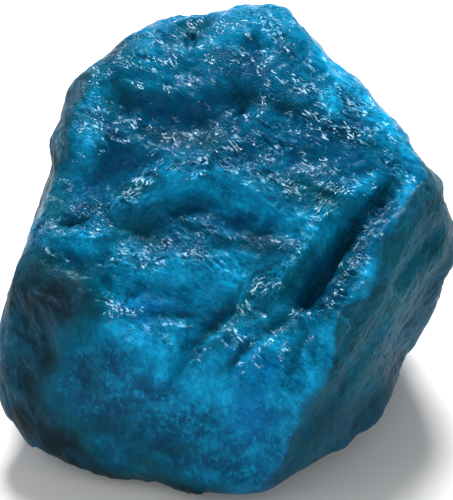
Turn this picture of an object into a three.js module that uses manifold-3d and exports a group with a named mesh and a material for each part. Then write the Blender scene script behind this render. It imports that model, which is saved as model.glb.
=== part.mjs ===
// Raw amazonite: one broken lump of blue-green feldspar, small enough to hold in a hand.
// Millimetres, +Z up. The stone stands on a flat break at z = 0, with the middle of its
// box over the origin, and its stepped, glossy show face looks towards -Y and up.
//
// It grew and broke as one piece, so it is one solid. It is made as a sculptor would:
// corners give the big broken faces, the edges between them are worn round, and the
// ledges, grooves, scoops, knobs and pits are then cut into the side that carries them.

import * as THREE from "three";
import { ConvexHull } from "three/addons/math/ConvexHull.js";
import { mergeVertices } from "three/addons/utils/BufferGeometryUtils.js";
import Module from "manifold-3d";

// ---- Driving dimensions ------------------------------------------------------------

const SPHERE_DETAIL = 13; // how finely the starting icosahedron is divided
const HEART = [0, 1, 19]; // the sphere's centre, deep inside the stone
const WEAR_ROUNDS = 3; // how often each point of the block is drawn towards its neighbours
const WEAR_SHARE = 0.5; // and how far each time
const REFINING = [
  { shortest: 2, bow: 0.12 }, // an edge longer than this is halved if it bows by more
  { shortest: 1.4, bow: 0.09 },
  { shortest: 1, bow: 0.09 },
];
const SETTLE_SHARE = 0.35; // how far points settle towards their neighbours after each round
const TURN_SWEEPS = 4; // how often shared edges are turned to lie along the relief
const TURN_GAIN = 0.7; // one is turned if the other diagonal bows less than this share of it
const TURN_LONGEST = 1.7; // and is no longer than this many times its length
const SLIVER = 0.2; // and leaves each triangle at least this share of the pair's area
const BASE_CUT = 0.5; // the worn underside is cut flat this far above its lowest corners
const SHOW_TILT = 38; // degrees above the horizon that the show face looks
const SHOW_MIDDLE = [0, 0, 20.4]; // the point behind the middle of the show plan
const SHOW_FACING = [0.05, 0.35]; // a spot takes on the show face's relief as it turns to it
const STEP_RUN = 6.2; // cleavage steps on the plain sides: how far apart they are
const STEP_RISE = 0.85; // and how high
const RISER = 0.2; // the share of a step's run that its steep side takes
const STEP_LEVEL = 0.6; // the share of its rise that lies below the worn block
const STEP_BEND = { size: 12, by: 0.25 }; // how far the sheets bend, as a share of a run
const STEP_PATCHES = { size: 15, from: -0.5, to: 0.6 }; // they show in patches of this size
const CLEAVAGE = [0.55, -0.35, -0.76]; // the way the cleavage sheets are stacked
const WAVES = 12; // waves that are summed to make rolling ground
const GOLDEN_ANGLE = Math.PI * (3 - Math.sqrt(5));
const ROUGHNESS = [
  { size: 8, height: 0.3, shift: 1 }, // broad lumps all over the stone
  { size: 4, height: 0.2, shift: 2 },
];
const WANDER = { size: 5, by: 0.4 }; // how far the relief wanders off its drawn lines

// Corners of the unworn block, going round each level of it.
const CORNERS = {
  rim: [
    [-23.6, -4.6, 25.8],
    [-19.9, 0.6, 29],
    [-19.3, 9, 35.7],
    [-17.8, 12.6, 38],
    [-12.3, 17, 41.7],
    [-7.5, 18, 41.5],
    [5.2, 21, 44.8],
    [9, 17.8, 41.7],
    [13.5, 13.8, 38.5],
    [20.7, 5.2, 33],
    [24.1, 2.8, 30],
  ],
  crest: [
    [-16.5, -12, 22],
    [-7, -18.4, 17.6],
    [1.5, -20.8, 15.6],
    [9, -21.8, 16.5],
    [13.8, -16.6, 22.6],
    [18.4, -10.4, 26.4],
    [23.8, 0.4, 29.4],
  ],
  belly: [
    [-25.8, -8.4, 21],
    [-27.2, -11.4, 14],
    [-26.8, -14.6, 7.2],
    [28.4, 1.6, 20.6],
    [25.8, 1.4, 15],
    [23.2, -1.2, 9.6],
    [23, 11, 14],
    [19, 16, 23],
    [-18.4, 11.4, 24],
    [-23, 12, 9],
    [-10, 24, 33.2],
    [6.5, 26.4, 34],
    [-13, 27, 13],
    [5, 28.5, 11],
    [17, 22.5, 12],
  ],
  foot: [
    [2.2, -24.7, 1],
    [-6.4, -22.2, 0.4],
    [-15.6, -19.3, 0.9],
    [-20.2, -17.6, 1.4],
    [-24.3, -16, 3.4],
    [9.8, -17.2, 0.8],
    [14.9, -14, 1.4],
    [17.7, -9.9, 2.4],
    [20, -4.9, 5],
    [19, 6, 0],
    [15, 18, 0],
    [3, 24, 0],
    [-10, 22, 0],
    [-19, 10, 0],
    [-21, -8, 0.4],
  ],
};

// ---- Small maths -------------------------------------------------------------------

const clamp = THREE.MathUtils.clamp;
const smoothstep = THREE.MathUtils.smoothstep;

// Rolling ground, about -1 to 1, with lumps about `size` mm across. It is a sum of waves
// whose directions are spread over the sphere by the golden angle. Each `shift` gives other
// ground, and the uneven steps in rate and phase keep its waves from falling in with one
// another.
function lumps(point, size, shift = 0) {
  let sum = 0;
  for (let wave = 0; wave < WAVES; wave++) {
    const turn = GOLDEN_ANGLE * (wave + shift);
    const rise = (2 * wave + 1) / WAVES - 1;
    const level = Math.sqrt(1 - rise * rise);
    const along = level * (Math.cos(turn) * point.x + Math.sin(turn) * point.y) + rise * point.z;
    const rate = (Math.PI / size) * (0.75 + 0.5 * ((wave * 0.618 + shift * 0.37) % 1));
    sum += Math.sin(rate * along + 1.7 * wave + 2.3 * shift);
  }
  return sum / Math.sqrt(WAVES);
}

// ---- The block and its wear ----------------------------------------------------------

function unitSphere() {
  const ball = new THREE.IcosahedronGeometry(1, SPHERE_DETAIL);
  ball.deleteAttribute("normal");
  ball.deleteAttribute("uv");
  return mergeVertices(ball, 1e-4);
}

// How far the block reaches from its heart in one direction.
function reach(direction, faces) {
  let nearest = Infinity;
  for (const face of faces) {
    const slope = face.normal.dot(direction);
    if (slope > 1e-6) nearest = Math.min(nearest, face.constant / slope);
  }
  return nearest;
}

function blockedOut(ball) {
  const heart = new THREE.Vector3(...HEART);
  const corners = Object.values(CORNERS).flat();
  const points = corners.map((corner) => new THREE.Vector3(...corner).sub(heart));
  const { faces } = new ConvexHull().setFromPoints(points);
  const position = ball.getAttribute("position");
  const places = [];
  for (let i = 0; i < position.count; i++) {
    const direction = new THREE.Vector3().fromBufferAttribute(position, i).normalize();
    places.push(direction.clone().multiplyScalar(reach(direction, faces)).add(heart));
  }
  return places;
}

// Halves each edge that `halves` picks, and fills each triangle again around the new
// points. Neighbours share them, so the skin stays closed.
function refined(places, triangles, halves) {
  const points = [...places];
  const middles = new Map();
  const middleOf = (a, b) => {
    const key = a < b ? `${a} ${b}` : `${b} ${a}`;
    if (!middles.has(key)) {
      const middle = places[a].clone().lerp(places[b], 0.5);
      middles.set(key, halves(a, b) ? points.push(middle) - 1 : -1);
    }
    return middles.get(key);
  };
  const made = [];
  for (const [a, b, c] of triangles) {
    const [ab, bc, ca] = [middleOf(a, b), middleOf(b, c), middleOf(c, a)];
    const ring = [a, ab, b, bc, c, ca];
    const cuts = [ab, bc, ca].filter((m) => m >= 0).length;
    if (cuts === 0) made.push([a, b, c]);
    if (cuts === 1) {
      const at = ring.findIndex((m, i) => i % 2 === 1 && m >= 0);
      const [middle, next, far, last] = [0, 1, 3, 5].map((step) => ring[(at + step) % 6]);
      made.push([middle, next, far], [middle, far, last]);
    }
    if (cuts === 2) {
      const at = ring.indexOf(-1);
      const [after, one, tip, two, before] = [1, 2, 3, 4, 5].map((step) => ring[(at + step) % 6]);
      made.push([one, tip, two], [after, one, two], [after, two, before]);
    }
    if (cuts === 3) made.push([a, ab, ca], [ab, b, bc], [ca, bc, c], [ab, bc, ca]);
  }
  return [points, made];
}

function neighboursOf(triangles, count) {
  const neighbours = Array.from({ length: count }, () => new Set());
  for (const [a, b, c] of triangles) {
    neighbours[a].add(b).add(c);
    neighbours[b].add(a).add(c);
    neighbours[c].add(a).add(b);
  }
  return neighbours.map((set) => [...set]);
}

// Draws each point towards the middle of its neighbours.
function worn(places, triangles, rounds, share) {
  const neighbours = neighboursOf(triangles, places.length);
  let current = places;
  for (let round = 0; round < rounds; round++) {
    current = current.map((place, i) => {
      const middle = new THREE.Vector3();
      for (const n of neighbours[i]) middle.add(current[n]);
      middle.divideScalar(neighbours[i].length);
      return place.clone().lerp(middle, share);
    });
  }
  return current;
}

function normalsOf(places, triangles) {
  const normals = places.map(() => new THREE.Vector3());
  const edge = new THREE.Vector3();
  const other = new THREE.Vector3();
  for (const [a, b, c] of triangles) {
    edge.subVectors(places[b], places[a]);
    other.subVectors(places[c], places[a]);
    edge.cross(other);
    for (const corner of [a, b, c]) normals[corner].add(edge);
  }
  return normals.map((normal) => normal.normalize());
}

// ---- Plans: flat sheets laid over one side of the stone ------------------------------

// A plan faces out of the stone. u runs to the right across it and v up it, in mm.
function makePlan(azimuth, elevation, middle) {
  const a = THREE.MathUtils.degToRad(azimuth);
  const e = THREE.MathUtils.degToRad(elevation);
  return {
    out: new THREE.Vector3(Math.sin(a) * Math.cos(e), -Math.cos(a) * Math.cos(e), Math.sin(e)),
    across: new THREE.Vector3(Math.cos(a), Math.sin(a), 0),
    up: new THREE.Vector3(-Math.sin(a) * Math.sin(e), Math.cos(a) * Math.sin(e), Math.cos(e)),
    middle: new THREE.Vector3(...middle),
  };
}

function onPlan(plan, point) {
  const offset = point.clone().sub(plan.middle);
  return new THREE.Vector2(offset.dot(plan.across), offset.dot(plan.up));
}

// Signed distance from a point to a path: positive to the left of the way it runs.
// `end` falls from 1 to 0 over `fade` mm at both ends of the path.
function alongPath(spot, path, fade) {
  let best = { distance: Infinity, side: 1, run: 0 };
  let walked = 0;
  for (let i = 0; i + 1 < path.length; i++) {
    const [ax, ay] = path[i];
    const [bx, by] = path[i + 1];
    const [dx, dy] = [bx - ax, by - ay];
    const length = Math.hypot(dx, dy);
    const raw = ((spot.x - ax) * dx + (spot.y - ay) * dy) / (length * length);
    const t = clamp(raw, 0, 1);
    const [ox, oy] = [spot.x - ax - dx * t, spot.y - ay - dy * t];
    const distance = Math.hypot(ox, oy);
    if (distance < best.distance) {
      best = { distance, side: Math.sign(dx * oy - dy * ox) || 1, run: walked + length * t };
    }
    walked += length;
  }
  const end = smoothstep(best.run, 0, fade) * smoothstep(walked - best.run, 0, fade);
  return { signed: best.distance * best.side, end };
}

// ---- What is cut into a side or stands on it -----------------------------------------

// Each of these returns a function of a spot on a plan, giving mm out of the surface.

// A channel. Its walls come up to a fifth of its depth at `width` from the path, and `lean`
// above 0 makes the wall on the path's left the short, steep one.
function groove(path, width, depth, lean = 0, fade = 1.5) {
  return (spot) => {
    const { signed, end } = alongPath(spot, path, fade);
    const half = width * (signed > 0 ? 1 - lean : 1 + lean);
    const x = Math.abs(signed) / half;
    return -depth * end * Math.exp(-x * x * 1.5);
  };
}

// A step: the ground left of the path stands `height` higher, and falls back over `run` mm.
function ledge(path, height, run, edge = 0.5, fade = 2) {
  return (spot) => {
    const { signed, end } = alongPath(spot, path, fade);
    const rise = smoothstep(signed, -edge, edge);
    return height * end * rise * Math.exp(-Math.max(signed, 0) / run);
  };
}

// A rounded rib along a path.
function rib(path, width, height, fade = 2) {
  return (spot) => {
    const { signed, end } = alongPath(spot, path, fade);
    return height * end * Math.exp(-((signed / width) ** 2));
  };
}

// A dished scoop, or a knob where depth is below 0. `turn` is in degrees.
function scoop(middle, radii, depth, turn = 0) {
  const angle = THREE.MathUtils.degToRad(turn);
  return (spot) => {
    const [dx, dy] = [spot.x - middle[0], spot.y - middle[1]];
    const x = (dx * Math.cos(angle) + dy * Math.sin(angle)) / radii[0];
    const y = (dy * Math.cos(angle) - dx * Math.sin(angle)) / radii[1];
    const share = Math.max(0, 1 - (x * x + y * y) / 2);
    return -depth * share * share;
  };
}

const knob = (middle, radii, height, turn = 0) => scoop(middle, radii, -height, turn);

// The notched top rim, with a pit just under it.
const TOP_RIM = [
  scoop([-4.2, 26.9], [2.4, 2.4], 1.5),
  groove([[-4.3, 26.4], [-4.2, 25], [-4, 23.8]], 0.9, 1.7, 0, 0.6),
  knob([-9.9, 22.2], [3, 2.1], 1.3),
  knob([3.2, 25.6], [4.6, 1.6], 0.6, 12),
  scoop([3.2, 23.6], [1.6, 1.4], 1),
  scoop([-5.6, 21.4], [2.8, 1.3], 0.8),
  scoop([13.4, 21.4], [1.3, 1.6], 0.6),
];

// A wide dished bowl below the rim, and the broken lip along its lower edge.
const BOWL_LIP = [
  [4.4, 18.8],
  [2.5, 16.8],
  [0.6, 14.8],
  [-2.4, 12.8],
  [-4.4, 13.4],
  [-6.6, 13.6],
  [-9.4, 14.8],
  [-12, 17.2],
];
const UPPER_BOWL = [
  groove([[-14.4, 21.2], [-12.6, 18.8], [-10.6, 16.2]], 2, 1.9, 0.1),
  scoop([-6.9, 16.6], [4.6, 3.4], 2.3, -12),
  scoop([-0.4, 17], [3.8, 3.6], 2.3, 20),
  scoop([2.2, 18.9], [2.6, 1.2], 0.8),
  scoop([6.4, 16.2], [3.6, 2.2], 1.2, -25),
  ledge(BOWL_LIP, 1.6, 3, 0.8),
  scoop([7.4, 10.8], [4.6, 1.7], 1.1, -14),
  scoop([12, 14.6], [3.8, 1.7], 1.1, -40),
  scoop([-14, 9.8], [4, 3.2], 1.7),
];

// The rib that crosses the show face, the arched scoop below it and the valley beside it.
const CROSSING_RIB = [
  [-14.7, 5.4],
  [-9.9, 7.7],
  [-7.3, 9.4],
  [-3.4, 10.3],
  [2.4, 9.6],
  [9, 8.2],
  [13, 8],
];
const SCOOP_ARCH = [
  [-7, 6.2],
  [-4.5, 7.8],
  [-3, 9],
  [-0.5, 8.4],
  [1.9, 7],
  [3.7, 5.8],
  [6, 3.5],
  [7.9, 1.5],
];
const CENTRAL_SCOOP = [
  rib(CROSSING_RIB, 1.7, 1.3),
  ledge(SCOOP_ARCH, 1.6, 3.4, 1),
  scoop([3.2, 4.2], [5, 2.4], 2.9, -32),
  scoop([-3.4, 5.6], [2.6, 1.8], 1.1, 10),
  rib([[-4.9, 4.9], [-2.6, 3.4], [0.6, 1.5]], 0.8, 0.9, 1),
  scoop([-6.2, 3.6], [3, 1.5], 1.8, 6),
  scoop([-10.4, 3.2], [2.6, 1.9], 2.2, -8),
  ledge([[8, 1.2], [4.4, 0.6], [0.2, 0.4], [-5.1, 0.2], [-9.2, 0.6], [-11.6, 2.2]], 1, 2.6, 0.6),
];

// Soft knobs and creases over the left shoulder.
const LEFT_SHOULDER = [
  groove([[-21, 4], [-19, 3.3], [-17, 3.3], [-15, 3.9], [-13, 3.4]], 0.9, 1.5),
  knob([-16.2, 1.6], [3, 2], 1.5),
  knob([-20.6, 1.2], [1.8, 2], 1),
  groove([[-18.6, 1.6], [-17.6, -0.8], [-17, -3.6]], 0.9, 0.8),
  knob([-11.4, -1.4], [3, 2.2], 1.2, 20),
  knob([-6, -1.8], [3.2, 1.9], 1.3, -10),
  groove([[-14, -1.6], [-13.4, -4.4], [-12.6, -7.4]], 1.1, 1.1),
  scoop([-3.6, -5], [4.4, 1.5], 1.2, 6),
  scoop([-11.4, -5], [2.4, 1.4], 0.8),
  groove([[-9.8, -7.1], [-7.4, -7.7], [-4.6, -7.9], [-2.4, -7.3]], 0.9, 1.3, 0.3),
];

// Cleavage steps on the right: channels and ribs that run up to the right together.
const CLEAVAGE_STEPS = [
  groove([[20.4, 8.6], [16.5, 5.3], [14.3, 2.7], [12.6, 0], [10.9, -3.2], [8.2, -6.9]], 2.2, 3.3, 0.25),
  groove([[8.6, -6.4], [5.3, -8.8], [1.4, -11.6]], 1.6, 1.9, 0.2),
  groove([[3, -1.2], [-1.3, -7.4], [-4, -10.6], [-6.4, -13.9]], 1.5, 2.2, 0.25),
  groove([[9.2, -7.8], [7.7, -12.3], [6.4, -15.8]], 1, 1.6, 0),
  groove([[13.4, 6], [11.6, 3.2], [9, -1], [6.6, -4.6]], 0.9, 1.1, 0),
  rib([[21.2, 7.4], [18.6, 3.8], [17, 0.4], [15.8, -3.6], [14, -7.8]], 1.1, 1.1),
  rib([[14.6, 8], [12.2, 4], [9.6, 0.2], [7, -3.8], [4.6, -7]], 1.1, 1.2),
  rib([[12, 5.6], [9.4, 1.8], [6.6, -2.4], [4, -6.6]], 1, 0.8),
  rib([[2.4, -6.8], [-0.6, -9.8], [-3.6, -13.4]], 1, 1),
  ledge([[13.8, -9], [11.6, -7.2], [8.4, -6.6]], 1.4, 2.6, 0.5, 1),
  ledge([[12.6, -13.6], [10.6, -12], [8.6, -11.8]], 0.8, 1.8, 0.5, 1),
  ledge([[1.8, -11.9], [-0.8, -9.9], [-3, -9.6]], 1.1, 2, 0.5, 1),
  ledge([[17.4, 1.4], [15.8, 2.6], [14.8, 2.6]], 0.6, 1.6, 0.4, 0.6),
  ledge([[16.2, -3.6], [14.2, -2], [12.8, -2.2]], 0.6, 1.6, 0.4, 0.6),
];

// The edge where the front break and the right flank meet, down to the near foot.
const NEAR_EDGE = [rib([[14, -8.2], [8.6, -16.4], [6.9, -20.2], [4.2, -28]], 1.3, 0.9)];

// The front break below the steps: shallow swellings on an almost even face.
const FRONT_FACE = [
  knob([-9, -15], [5, 3.6], 0.7, 20),
  scoop([2.6, -19], [3, 3.4], 0.6),
  knob([-2, -22.6], [3.6, 2], 0.5),
  scoop([-11, -22], [4, 2], 0.5, 20),
];

// The right flank: long shallow steps side by side with the crest above them.
const RIGHT_FLANK = [
  ledge([[23, 1.6], [19.4, -5.6], [16, -11.6], [11.4, -17.6], [7.6, -24]], 0.9, 3.4, 0.6),
  ledge([[25.4, -3], [22.4, -9.6], [18.8, -15.4], [14.4, -21.4]], 0.7, 2.6, 0.6),
  groove([[24.6, 3.6], [21.6, -1], [19, -5.2]], 0.9, 0.7),
  scoop([20.2, -13.4], [1.4, 2.8], 0.7, -30),
  knob([16.6, -19.4], [1.8, 1.6], 0.5),
  knob([12.6, -22.4], [1.8, 1.2], 0.4),
  scoop([13.4, -14.8], [1.1, 3.4], 0.6, -34),
];

// The left flank: a rounded weathered skin with slanting furrows.
const LEFT_FLANK = [
  groove([[-19.2, -15.4], [-17.9, -18.9], [-13.7, -23.6]], 1.4, 0.6),
  groove([[-24.4, -6.4], [-23.2, -11], [-22.6, -15.6]], 1.4, 0.6),
  scoop([-21, -9.6], [1.6, 3.6], 0.7, 14),
  ledge([[-16.4, -8.4], [-19.4, -5.4], [-23.4, -3.8]], 0.8, 2.4, 0.7),
  knob([-18.8, -12.6], [1.8, 2.6], 0.6, 10),
];

// ---- Putting it together -------------------------------------------------------------

const SHOW = makePlan(0, SHOW_TILT, SHOW_MIDDLE);
const SHOW_RELIEF = [
  TOP_RIM,
  UPPER_BOWL,
  CENTRAL_SCOOP,
  LEFT_SHOULDER,
  CLEAVAGE_STEPS,
  NEAR_EDGE,
  FRONT_FACE,
  RIGHT_FLANK,
  LEFT_FLANK,
].flat();

// Hollows in the outline, as a place, a radius and a depth. A swelling has a depth below 0.
const DENTS = [
  [[-21, 1, 28], 6, 1.5],
  [[-21, 8, 30], 6, 0.5],
  [[-15.4, 15, 38.6], 2.6, 0.5],
  [[-2, 20.4, 42], 5, 1.2],
  [[12.6, 14.6, 38], 3, 0.4],
  [[-27, -12, 8], 6, -0.3],
];

// Broken sheets of feldspar, each standing over the next along a sharp edge.
function cleavageSteps(place) {
  const stack = place.dot(new THREE.Vector3(...CLEAVAGE).normalize()) / STEP_RUN;
  const along = stack + STEP_BEND.by * lumps(place, STEP_BEND.size, 5);
  const run = along - Math.floor(along);
  const profile = run < 1 - RISER ? run / (1 - RISER) : (1 - run) / RISER;
  const shown = smoothstep(lumps(place, STEP_PATCHES.size, 6), STEP_PATCHES.from, STEP_PATCHES.to);
  return STEP_RISE * (profile - STEP_LEVEL) * shown;
}

// How far the surface stands out of the worn block at a place, in mm.
function relief(place, normal) {
  let out = 0;
  for (const { size, height, shift } of ROUGHNESS) out += height * lumps(place, size, shift);
  for (const [middle, radius, depth] of DENTS) {
    const away = place.distanceTo(new THREE.Vector3(...middle)) / radius;
    out -= depth * Math.exp(-away * away);
  }
  const facing = smoothstep(normal.dot(SHOW.out), ...SHOW_FACING);
  if (facing < 1) out += (1 - facing) * cleavageSteps(place);
  if (facing > 0) {
    const spot = onPlan(SHOW, place);
    spot.x += WANDER.by * lumps(place, WANDER.size, 3);
    spot.y += WANDER.by * lumps(place, WANDER.size, 4);
    for (const height of SHOW_RELIEF) out += facing * height(spot);
  }
  return out;
}

// The places of a skin, with the normal and the relief at each of them.
function surveyed(places, triangles) {
  const normals = normalsOf(places, triangles);
  return { places, normals, heights: places.map((place, i) => relief(place, normals[i])) };
}

// How far the finished surface bows away from a straight edge between two of its points.
function bowOf({ places, normals, heights }, a, b) {
  const middle = places[a].clone().lerp(places[b], 0.5);
  const normal = normals[a].clone().add(normals[b]).normalize();
  const sag = normals[b].clone().sub(normals[a]).dot(places[b].clone().sub(places[a])) / 8;
  return Math.abs(relief(middle, normal) + sag - (heights[a] + heights[b]) / 2);
}

// Adds points where the surface bends between the ends of an edge.
function madeReady(places, triangles) {
  let [current, made] = [places, triangles];
  for (const { shortest, bow } of REFINING) {
    const skin = surveyed(current, made);
    const halves = (a, b) => {
      const length = skin.places[a].distanceTo(skin.places[b]);
      return length > shortest && bowOf(skin, a, b) > bow;
    };
    [current, made] = refined(current, made, halves);
    current = worn(current, made, 1, SETTLE_SHARE);
  }
  return [current, made];
}

// Turns the edge that two triangles share when their other diagonal follows the surface
// better, so that ridges and channels run along edges and not across them.
function turned(skin, triangles) {
  const { places, normals } = skin;
  const areaOf = (a, b, c) => {
    const cross = places[b].clone().sub(places[a]).cross(places[c].clone().sub(places[a]));
    return cross.dot(normals[a]);
  };
  const faces = triangles.map((triangle) => [...triangle]);
  for (let sweep = 0; sweep < TURN_SWEEPS; sweep++) {
    const across = new Map();
    faces.forEach(([a, b, c], face) => {
      across.set(`${a} ${b}`, { face, tip: c });
      across.set(`${b} ${c}`, { face, tip: a });
      across.set(`${c} ${a}`, { face, tip: b });
    });
    const touched = new Set();
    for (const [key, { face, tip: c }] of across) {
      const [a, b] = key.split(" ").map(Number);
      const { face: facing, tip: d } = across.get(`${b} ${a}`);
      if (a > b || touched.has(face) || touched.has(facing)) continue;
      if (across.has(`${c} ${d}`) || across.has(`${d} ${c}`)) continue;
      const stretch = places[c].distanceTo(places[d]) / places[a].distanceTo(places[b]);
      const least = SLIVER * (areaOf(a, b, c) + areaOf(b, a, d));
      if (stretch > TURN_LONGEST) continue;
      if (areaOf(c, a, d) < least || areaOf(d, b, c) < least) continue;
      if (bowOf(skin, c, d) > TURN_GAIN * bowOf(skin, a, b)) continue;
      faces[face] = [c, a, d];
      faces[facing] = [d, b, c];
      touched.add(face).add(facing);
    }
  }
  return faces;
}

function solidFrom(geometry) {
  return new wasm.Manifold(
    new wasm.Mesh({
      numProp: 3,
      vertProperties: new Float32Array(geometry.getAttribute("position").array),
      triVerts: new Uint32Array(geometry.index.array),
    }),
  );
}

function geometryFrom(solid) {
  const { numProp, numVert, vertProperties, triVerts } = solid.getMesh();
  const positions = new Float32Array(numVert * 3);
  for (let i = 0; i < numVert; i++) {
    positions.set(vertProperties.subarray(i * numProp, i * numProp + 3), i * 3);
  }
  return new THREE.BufferGeometry()
    .setAttribute("position", new THREE.BufferAttribute(positions, 3))
    .setIndex(new THREE.BufferAttribute(new Uint32Array(triVerts), 1));
}

// A block under the stone that its underside is cut off against.
function tableBlock() {
  const size = 200;
  const block = new THREE.BoxGeometry(size, size, size);
  block.deleteAttribute("normal");
  block.deleteAttribute("uv");
  block.translate(0, 0, BASE_CUT - size / 2);
  return mergeVertices(block);
}

function stoneGeometry() {
  const ball = unitSphere();
  const coarse = Array.from({ length: ball.index.count / 3 }, (_, i) => [
    ...ball.index.array.slice(3 * i, 3 * i + 3),
  ]);
  const rounded = worn(blockedOut(ball), coarse, WEAR_ROUNDS, WEAR_SHARE);
  const [ready, made] = madeReady(rounded, coarse);
  const { places, normals, heights } = surveyed(ready, made);
  const triangles = turned({ places, normals, heights }, made);
  const carved = places.map((place, i) => place.clone().addScaledVector(normals[i], heights[i]));
  const skin = new THREE.BufferGeometry().setFromPoints(carved).setIndex(triangles.flat());
  const cut = geometryFrom(solidFrom(skin).subtract(solidFrom(tableBlock())));
  cut.computeBoundingBox();
  const middle = cut.boundingBox.getCenter(new THREE.Vector3());
  return cut.translate(-middle.x, -middle.y, -BASE_CUT);
}

const wasm = await Module();
wasm.setup();

const stone = new THREE.Mesh(
  stoneGeometry(),
  new THREE.MeshStandardMaterial({ color: 0x0a6f9c, roughness: 0.35, metalness: 0 }),
);
stone.name = "raw_amazonite";

const part = new THREE.Group();
part.add(stone);

export default part;
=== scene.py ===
# %% [markdown]
# # Raw amazonite: a broken lump of blue-green feldspar
#
# The real object is one natural piece, small enough to lie in a palm. It has a stepped,
# wet looking show face that leans back, a bright even break below it, and dull weathered
# flanks round the sides and the back. This lesson makes it as a sculptor would: a block
# with the right big faces, worn edges, then ledges, channels and scoops, then small scales
# and grain, and at last a finish that knows where the stone is hollow, proud or weathered.

import math

import bmesh
import bpy
import numpy as np
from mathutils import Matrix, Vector, noise
from mathutils.bvhtree import BVHTree


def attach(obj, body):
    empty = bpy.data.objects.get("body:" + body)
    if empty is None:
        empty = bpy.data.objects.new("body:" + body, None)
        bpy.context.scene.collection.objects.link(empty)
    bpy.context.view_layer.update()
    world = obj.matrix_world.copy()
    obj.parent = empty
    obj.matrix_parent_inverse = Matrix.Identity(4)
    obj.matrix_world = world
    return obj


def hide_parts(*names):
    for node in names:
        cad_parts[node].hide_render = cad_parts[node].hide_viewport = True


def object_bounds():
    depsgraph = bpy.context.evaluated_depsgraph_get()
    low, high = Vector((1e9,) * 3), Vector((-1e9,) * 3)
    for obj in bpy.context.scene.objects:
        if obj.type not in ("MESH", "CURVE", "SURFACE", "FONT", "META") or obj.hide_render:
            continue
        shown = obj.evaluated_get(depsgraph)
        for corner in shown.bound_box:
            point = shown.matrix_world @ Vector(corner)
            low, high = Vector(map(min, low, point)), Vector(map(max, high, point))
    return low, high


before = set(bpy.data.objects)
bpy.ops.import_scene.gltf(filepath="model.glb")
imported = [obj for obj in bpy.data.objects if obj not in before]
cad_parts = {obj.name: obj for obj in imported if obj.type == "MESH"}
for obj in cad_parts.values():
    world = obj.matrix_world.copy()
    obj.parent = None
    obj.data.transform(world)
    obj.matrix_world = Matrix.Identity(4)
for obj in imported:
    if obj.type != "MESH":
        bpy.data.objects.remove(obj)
cad_low, cad_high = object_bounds()
MM = 0.001  # the scene is in metres, and the stone is worked in millimetres
print("the plain solid measures, in mm:", [round(side / MM, 2) for side in cad_high - cad_low])

# %% [markdown]
# ## The block
#
# A broken stone is a handful of big faces. Its corners are named level by level, and
# their convex hull gives the planes of those faces. A fine icosphere is then laid on the
# planes from inside: its triangles are all about the same size, so it takes carving
# evenly on every side, which a grid or a cube divided many times does not.

# %% Corners of the unworn block, in mm
HEART = np.array([0, 1, 19])  # deep inside the stone, where the sphere starts
RIM = [
    (-23.6, -4.6, 25.8), (-19.9, 0.6, 29), (-19.3, 9, 35.7), (-17.8, 12.6, 38),
    (-12.3, 17, 41.7), (-7.5, 18, 41.5), (5.2, 21, 44.8), (9, 17.8, 41.7),
    (13.5, 13.8, 38.5), (20.7, 5.2, 33), (24.1, 2.8, 30),
]
CREST = [
    (-16.5, -12, 22), (-7, -18.4, 17.6), (1.5, -20.8, 15.6), (9, -21.8, 16.5),
    (13.8, -16.6, 22.6), (18.4, -10.4, 26.4), (23.8, 0.4, 29.4),
]
BELLY = [
    (-25.8, -8.4, 21), (-27.2, -11.4, 14), (-26.8, -14.6, 7.2), (28.4, 1.6, 20.6),
    (25.8, 1.4, 15), (23.2, -1.2, 9.6), (23, 11, 14), (19, 16, 23), (-18.4, 11.4, 24),
    (-23, 12, 9), (-10, 24, 33.2), (6.5, 26.4, 34), (-13, 27, 13), (5, 28.5, 11),
    (17, 22.5, 12),
]
FOOT = [
    (2.2, -24.7, 1), (-6.4, -22.2, 0.4), (-15.6, -19.3, 0.9), (-20.2, -17.6, 1.4),
    (-24.3, -16, 3.4), (9.8, -17.2, 0.8), (14.9, -14, 1.4), (17.7, -9.9, 2.4), (20, -4.9, 5),
    (19, 6, 0), (15, 18, 0), (3, 24, 0), (-10, 22, 0), (-19, 10, 0), (-21, -8, 0.4),
]
CORNERS = RIM + CREST + BELLY + FOOT
print("corners of the block:", len(CORNERS))

# %% The planes of the block
hull = bmesh.new()
for corner in CORNERS:
    hull.verts.new(corner)
bmesh.ops.convex_hull(hull, input=hull.verts)
hull.normal_update()
faces_out = np.array([face.normal[:] for face in hull.faces])
face_reach = np.array([(Vector(HEART) - face.verts[0].co).dot(face.normal) for face in hull.faces])
faces_out *= -np.sign(face_reach)[:, None]
face_reach = np.abs(face_reach)
hull.free()
print("big faces:", len(face_reach))

# %% Reading, moving and wearing the points of a mesh
def places_of(bm):
    return np.array([v.co[:] for v in bm.verts])


def normals_of(bm):
    bm.normal_update()
    return np.array([v.normal[:] for v in bm.verts])


def move_to(bm, places):
    for vert, place in zip(bm.verts, places):
        vert.co = place


def worn(bm, rounds, share):
    """Draws each point towards the middle of its neighbours."""
    for _ in range(rounds):
        bmesh.ops.smooth_vert(
            bm, verts=bm.verts, factor=share, use_axis_x=True, use_axis_y=True, use_axis_z=True
        )


# %% Lay a sphere on the planes of the block
BALL_LEVEL = 6  # how often the icosahedron is divided
WEAR_ROUNDS = 22  # how often each point is drawn towards its neighbours
WEAR_SHARE = 0.5  # and how far each time
GRAZING = 1e-6  # a ray that leans less than this towards a plane never meets it

stone = bmesh.new()
bmesh.ops.create_icosphere(stone, subdivisions=BALL_LEVEL, radius=1)
directions = places_of(stone)
slopes = directions @ faces_out.T
reach = np.where(slopes > GRAZING, face_reach / np.maximum(slopes, GRAZING), np.inf).min(axis=1)
move_to(stone, HEART + directions * reach[:, None])
worn(stone, WEAR_ROUNDS, WEAR_SHARE)
print("triangles on the worn block:", len(stone.faces))

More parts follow.
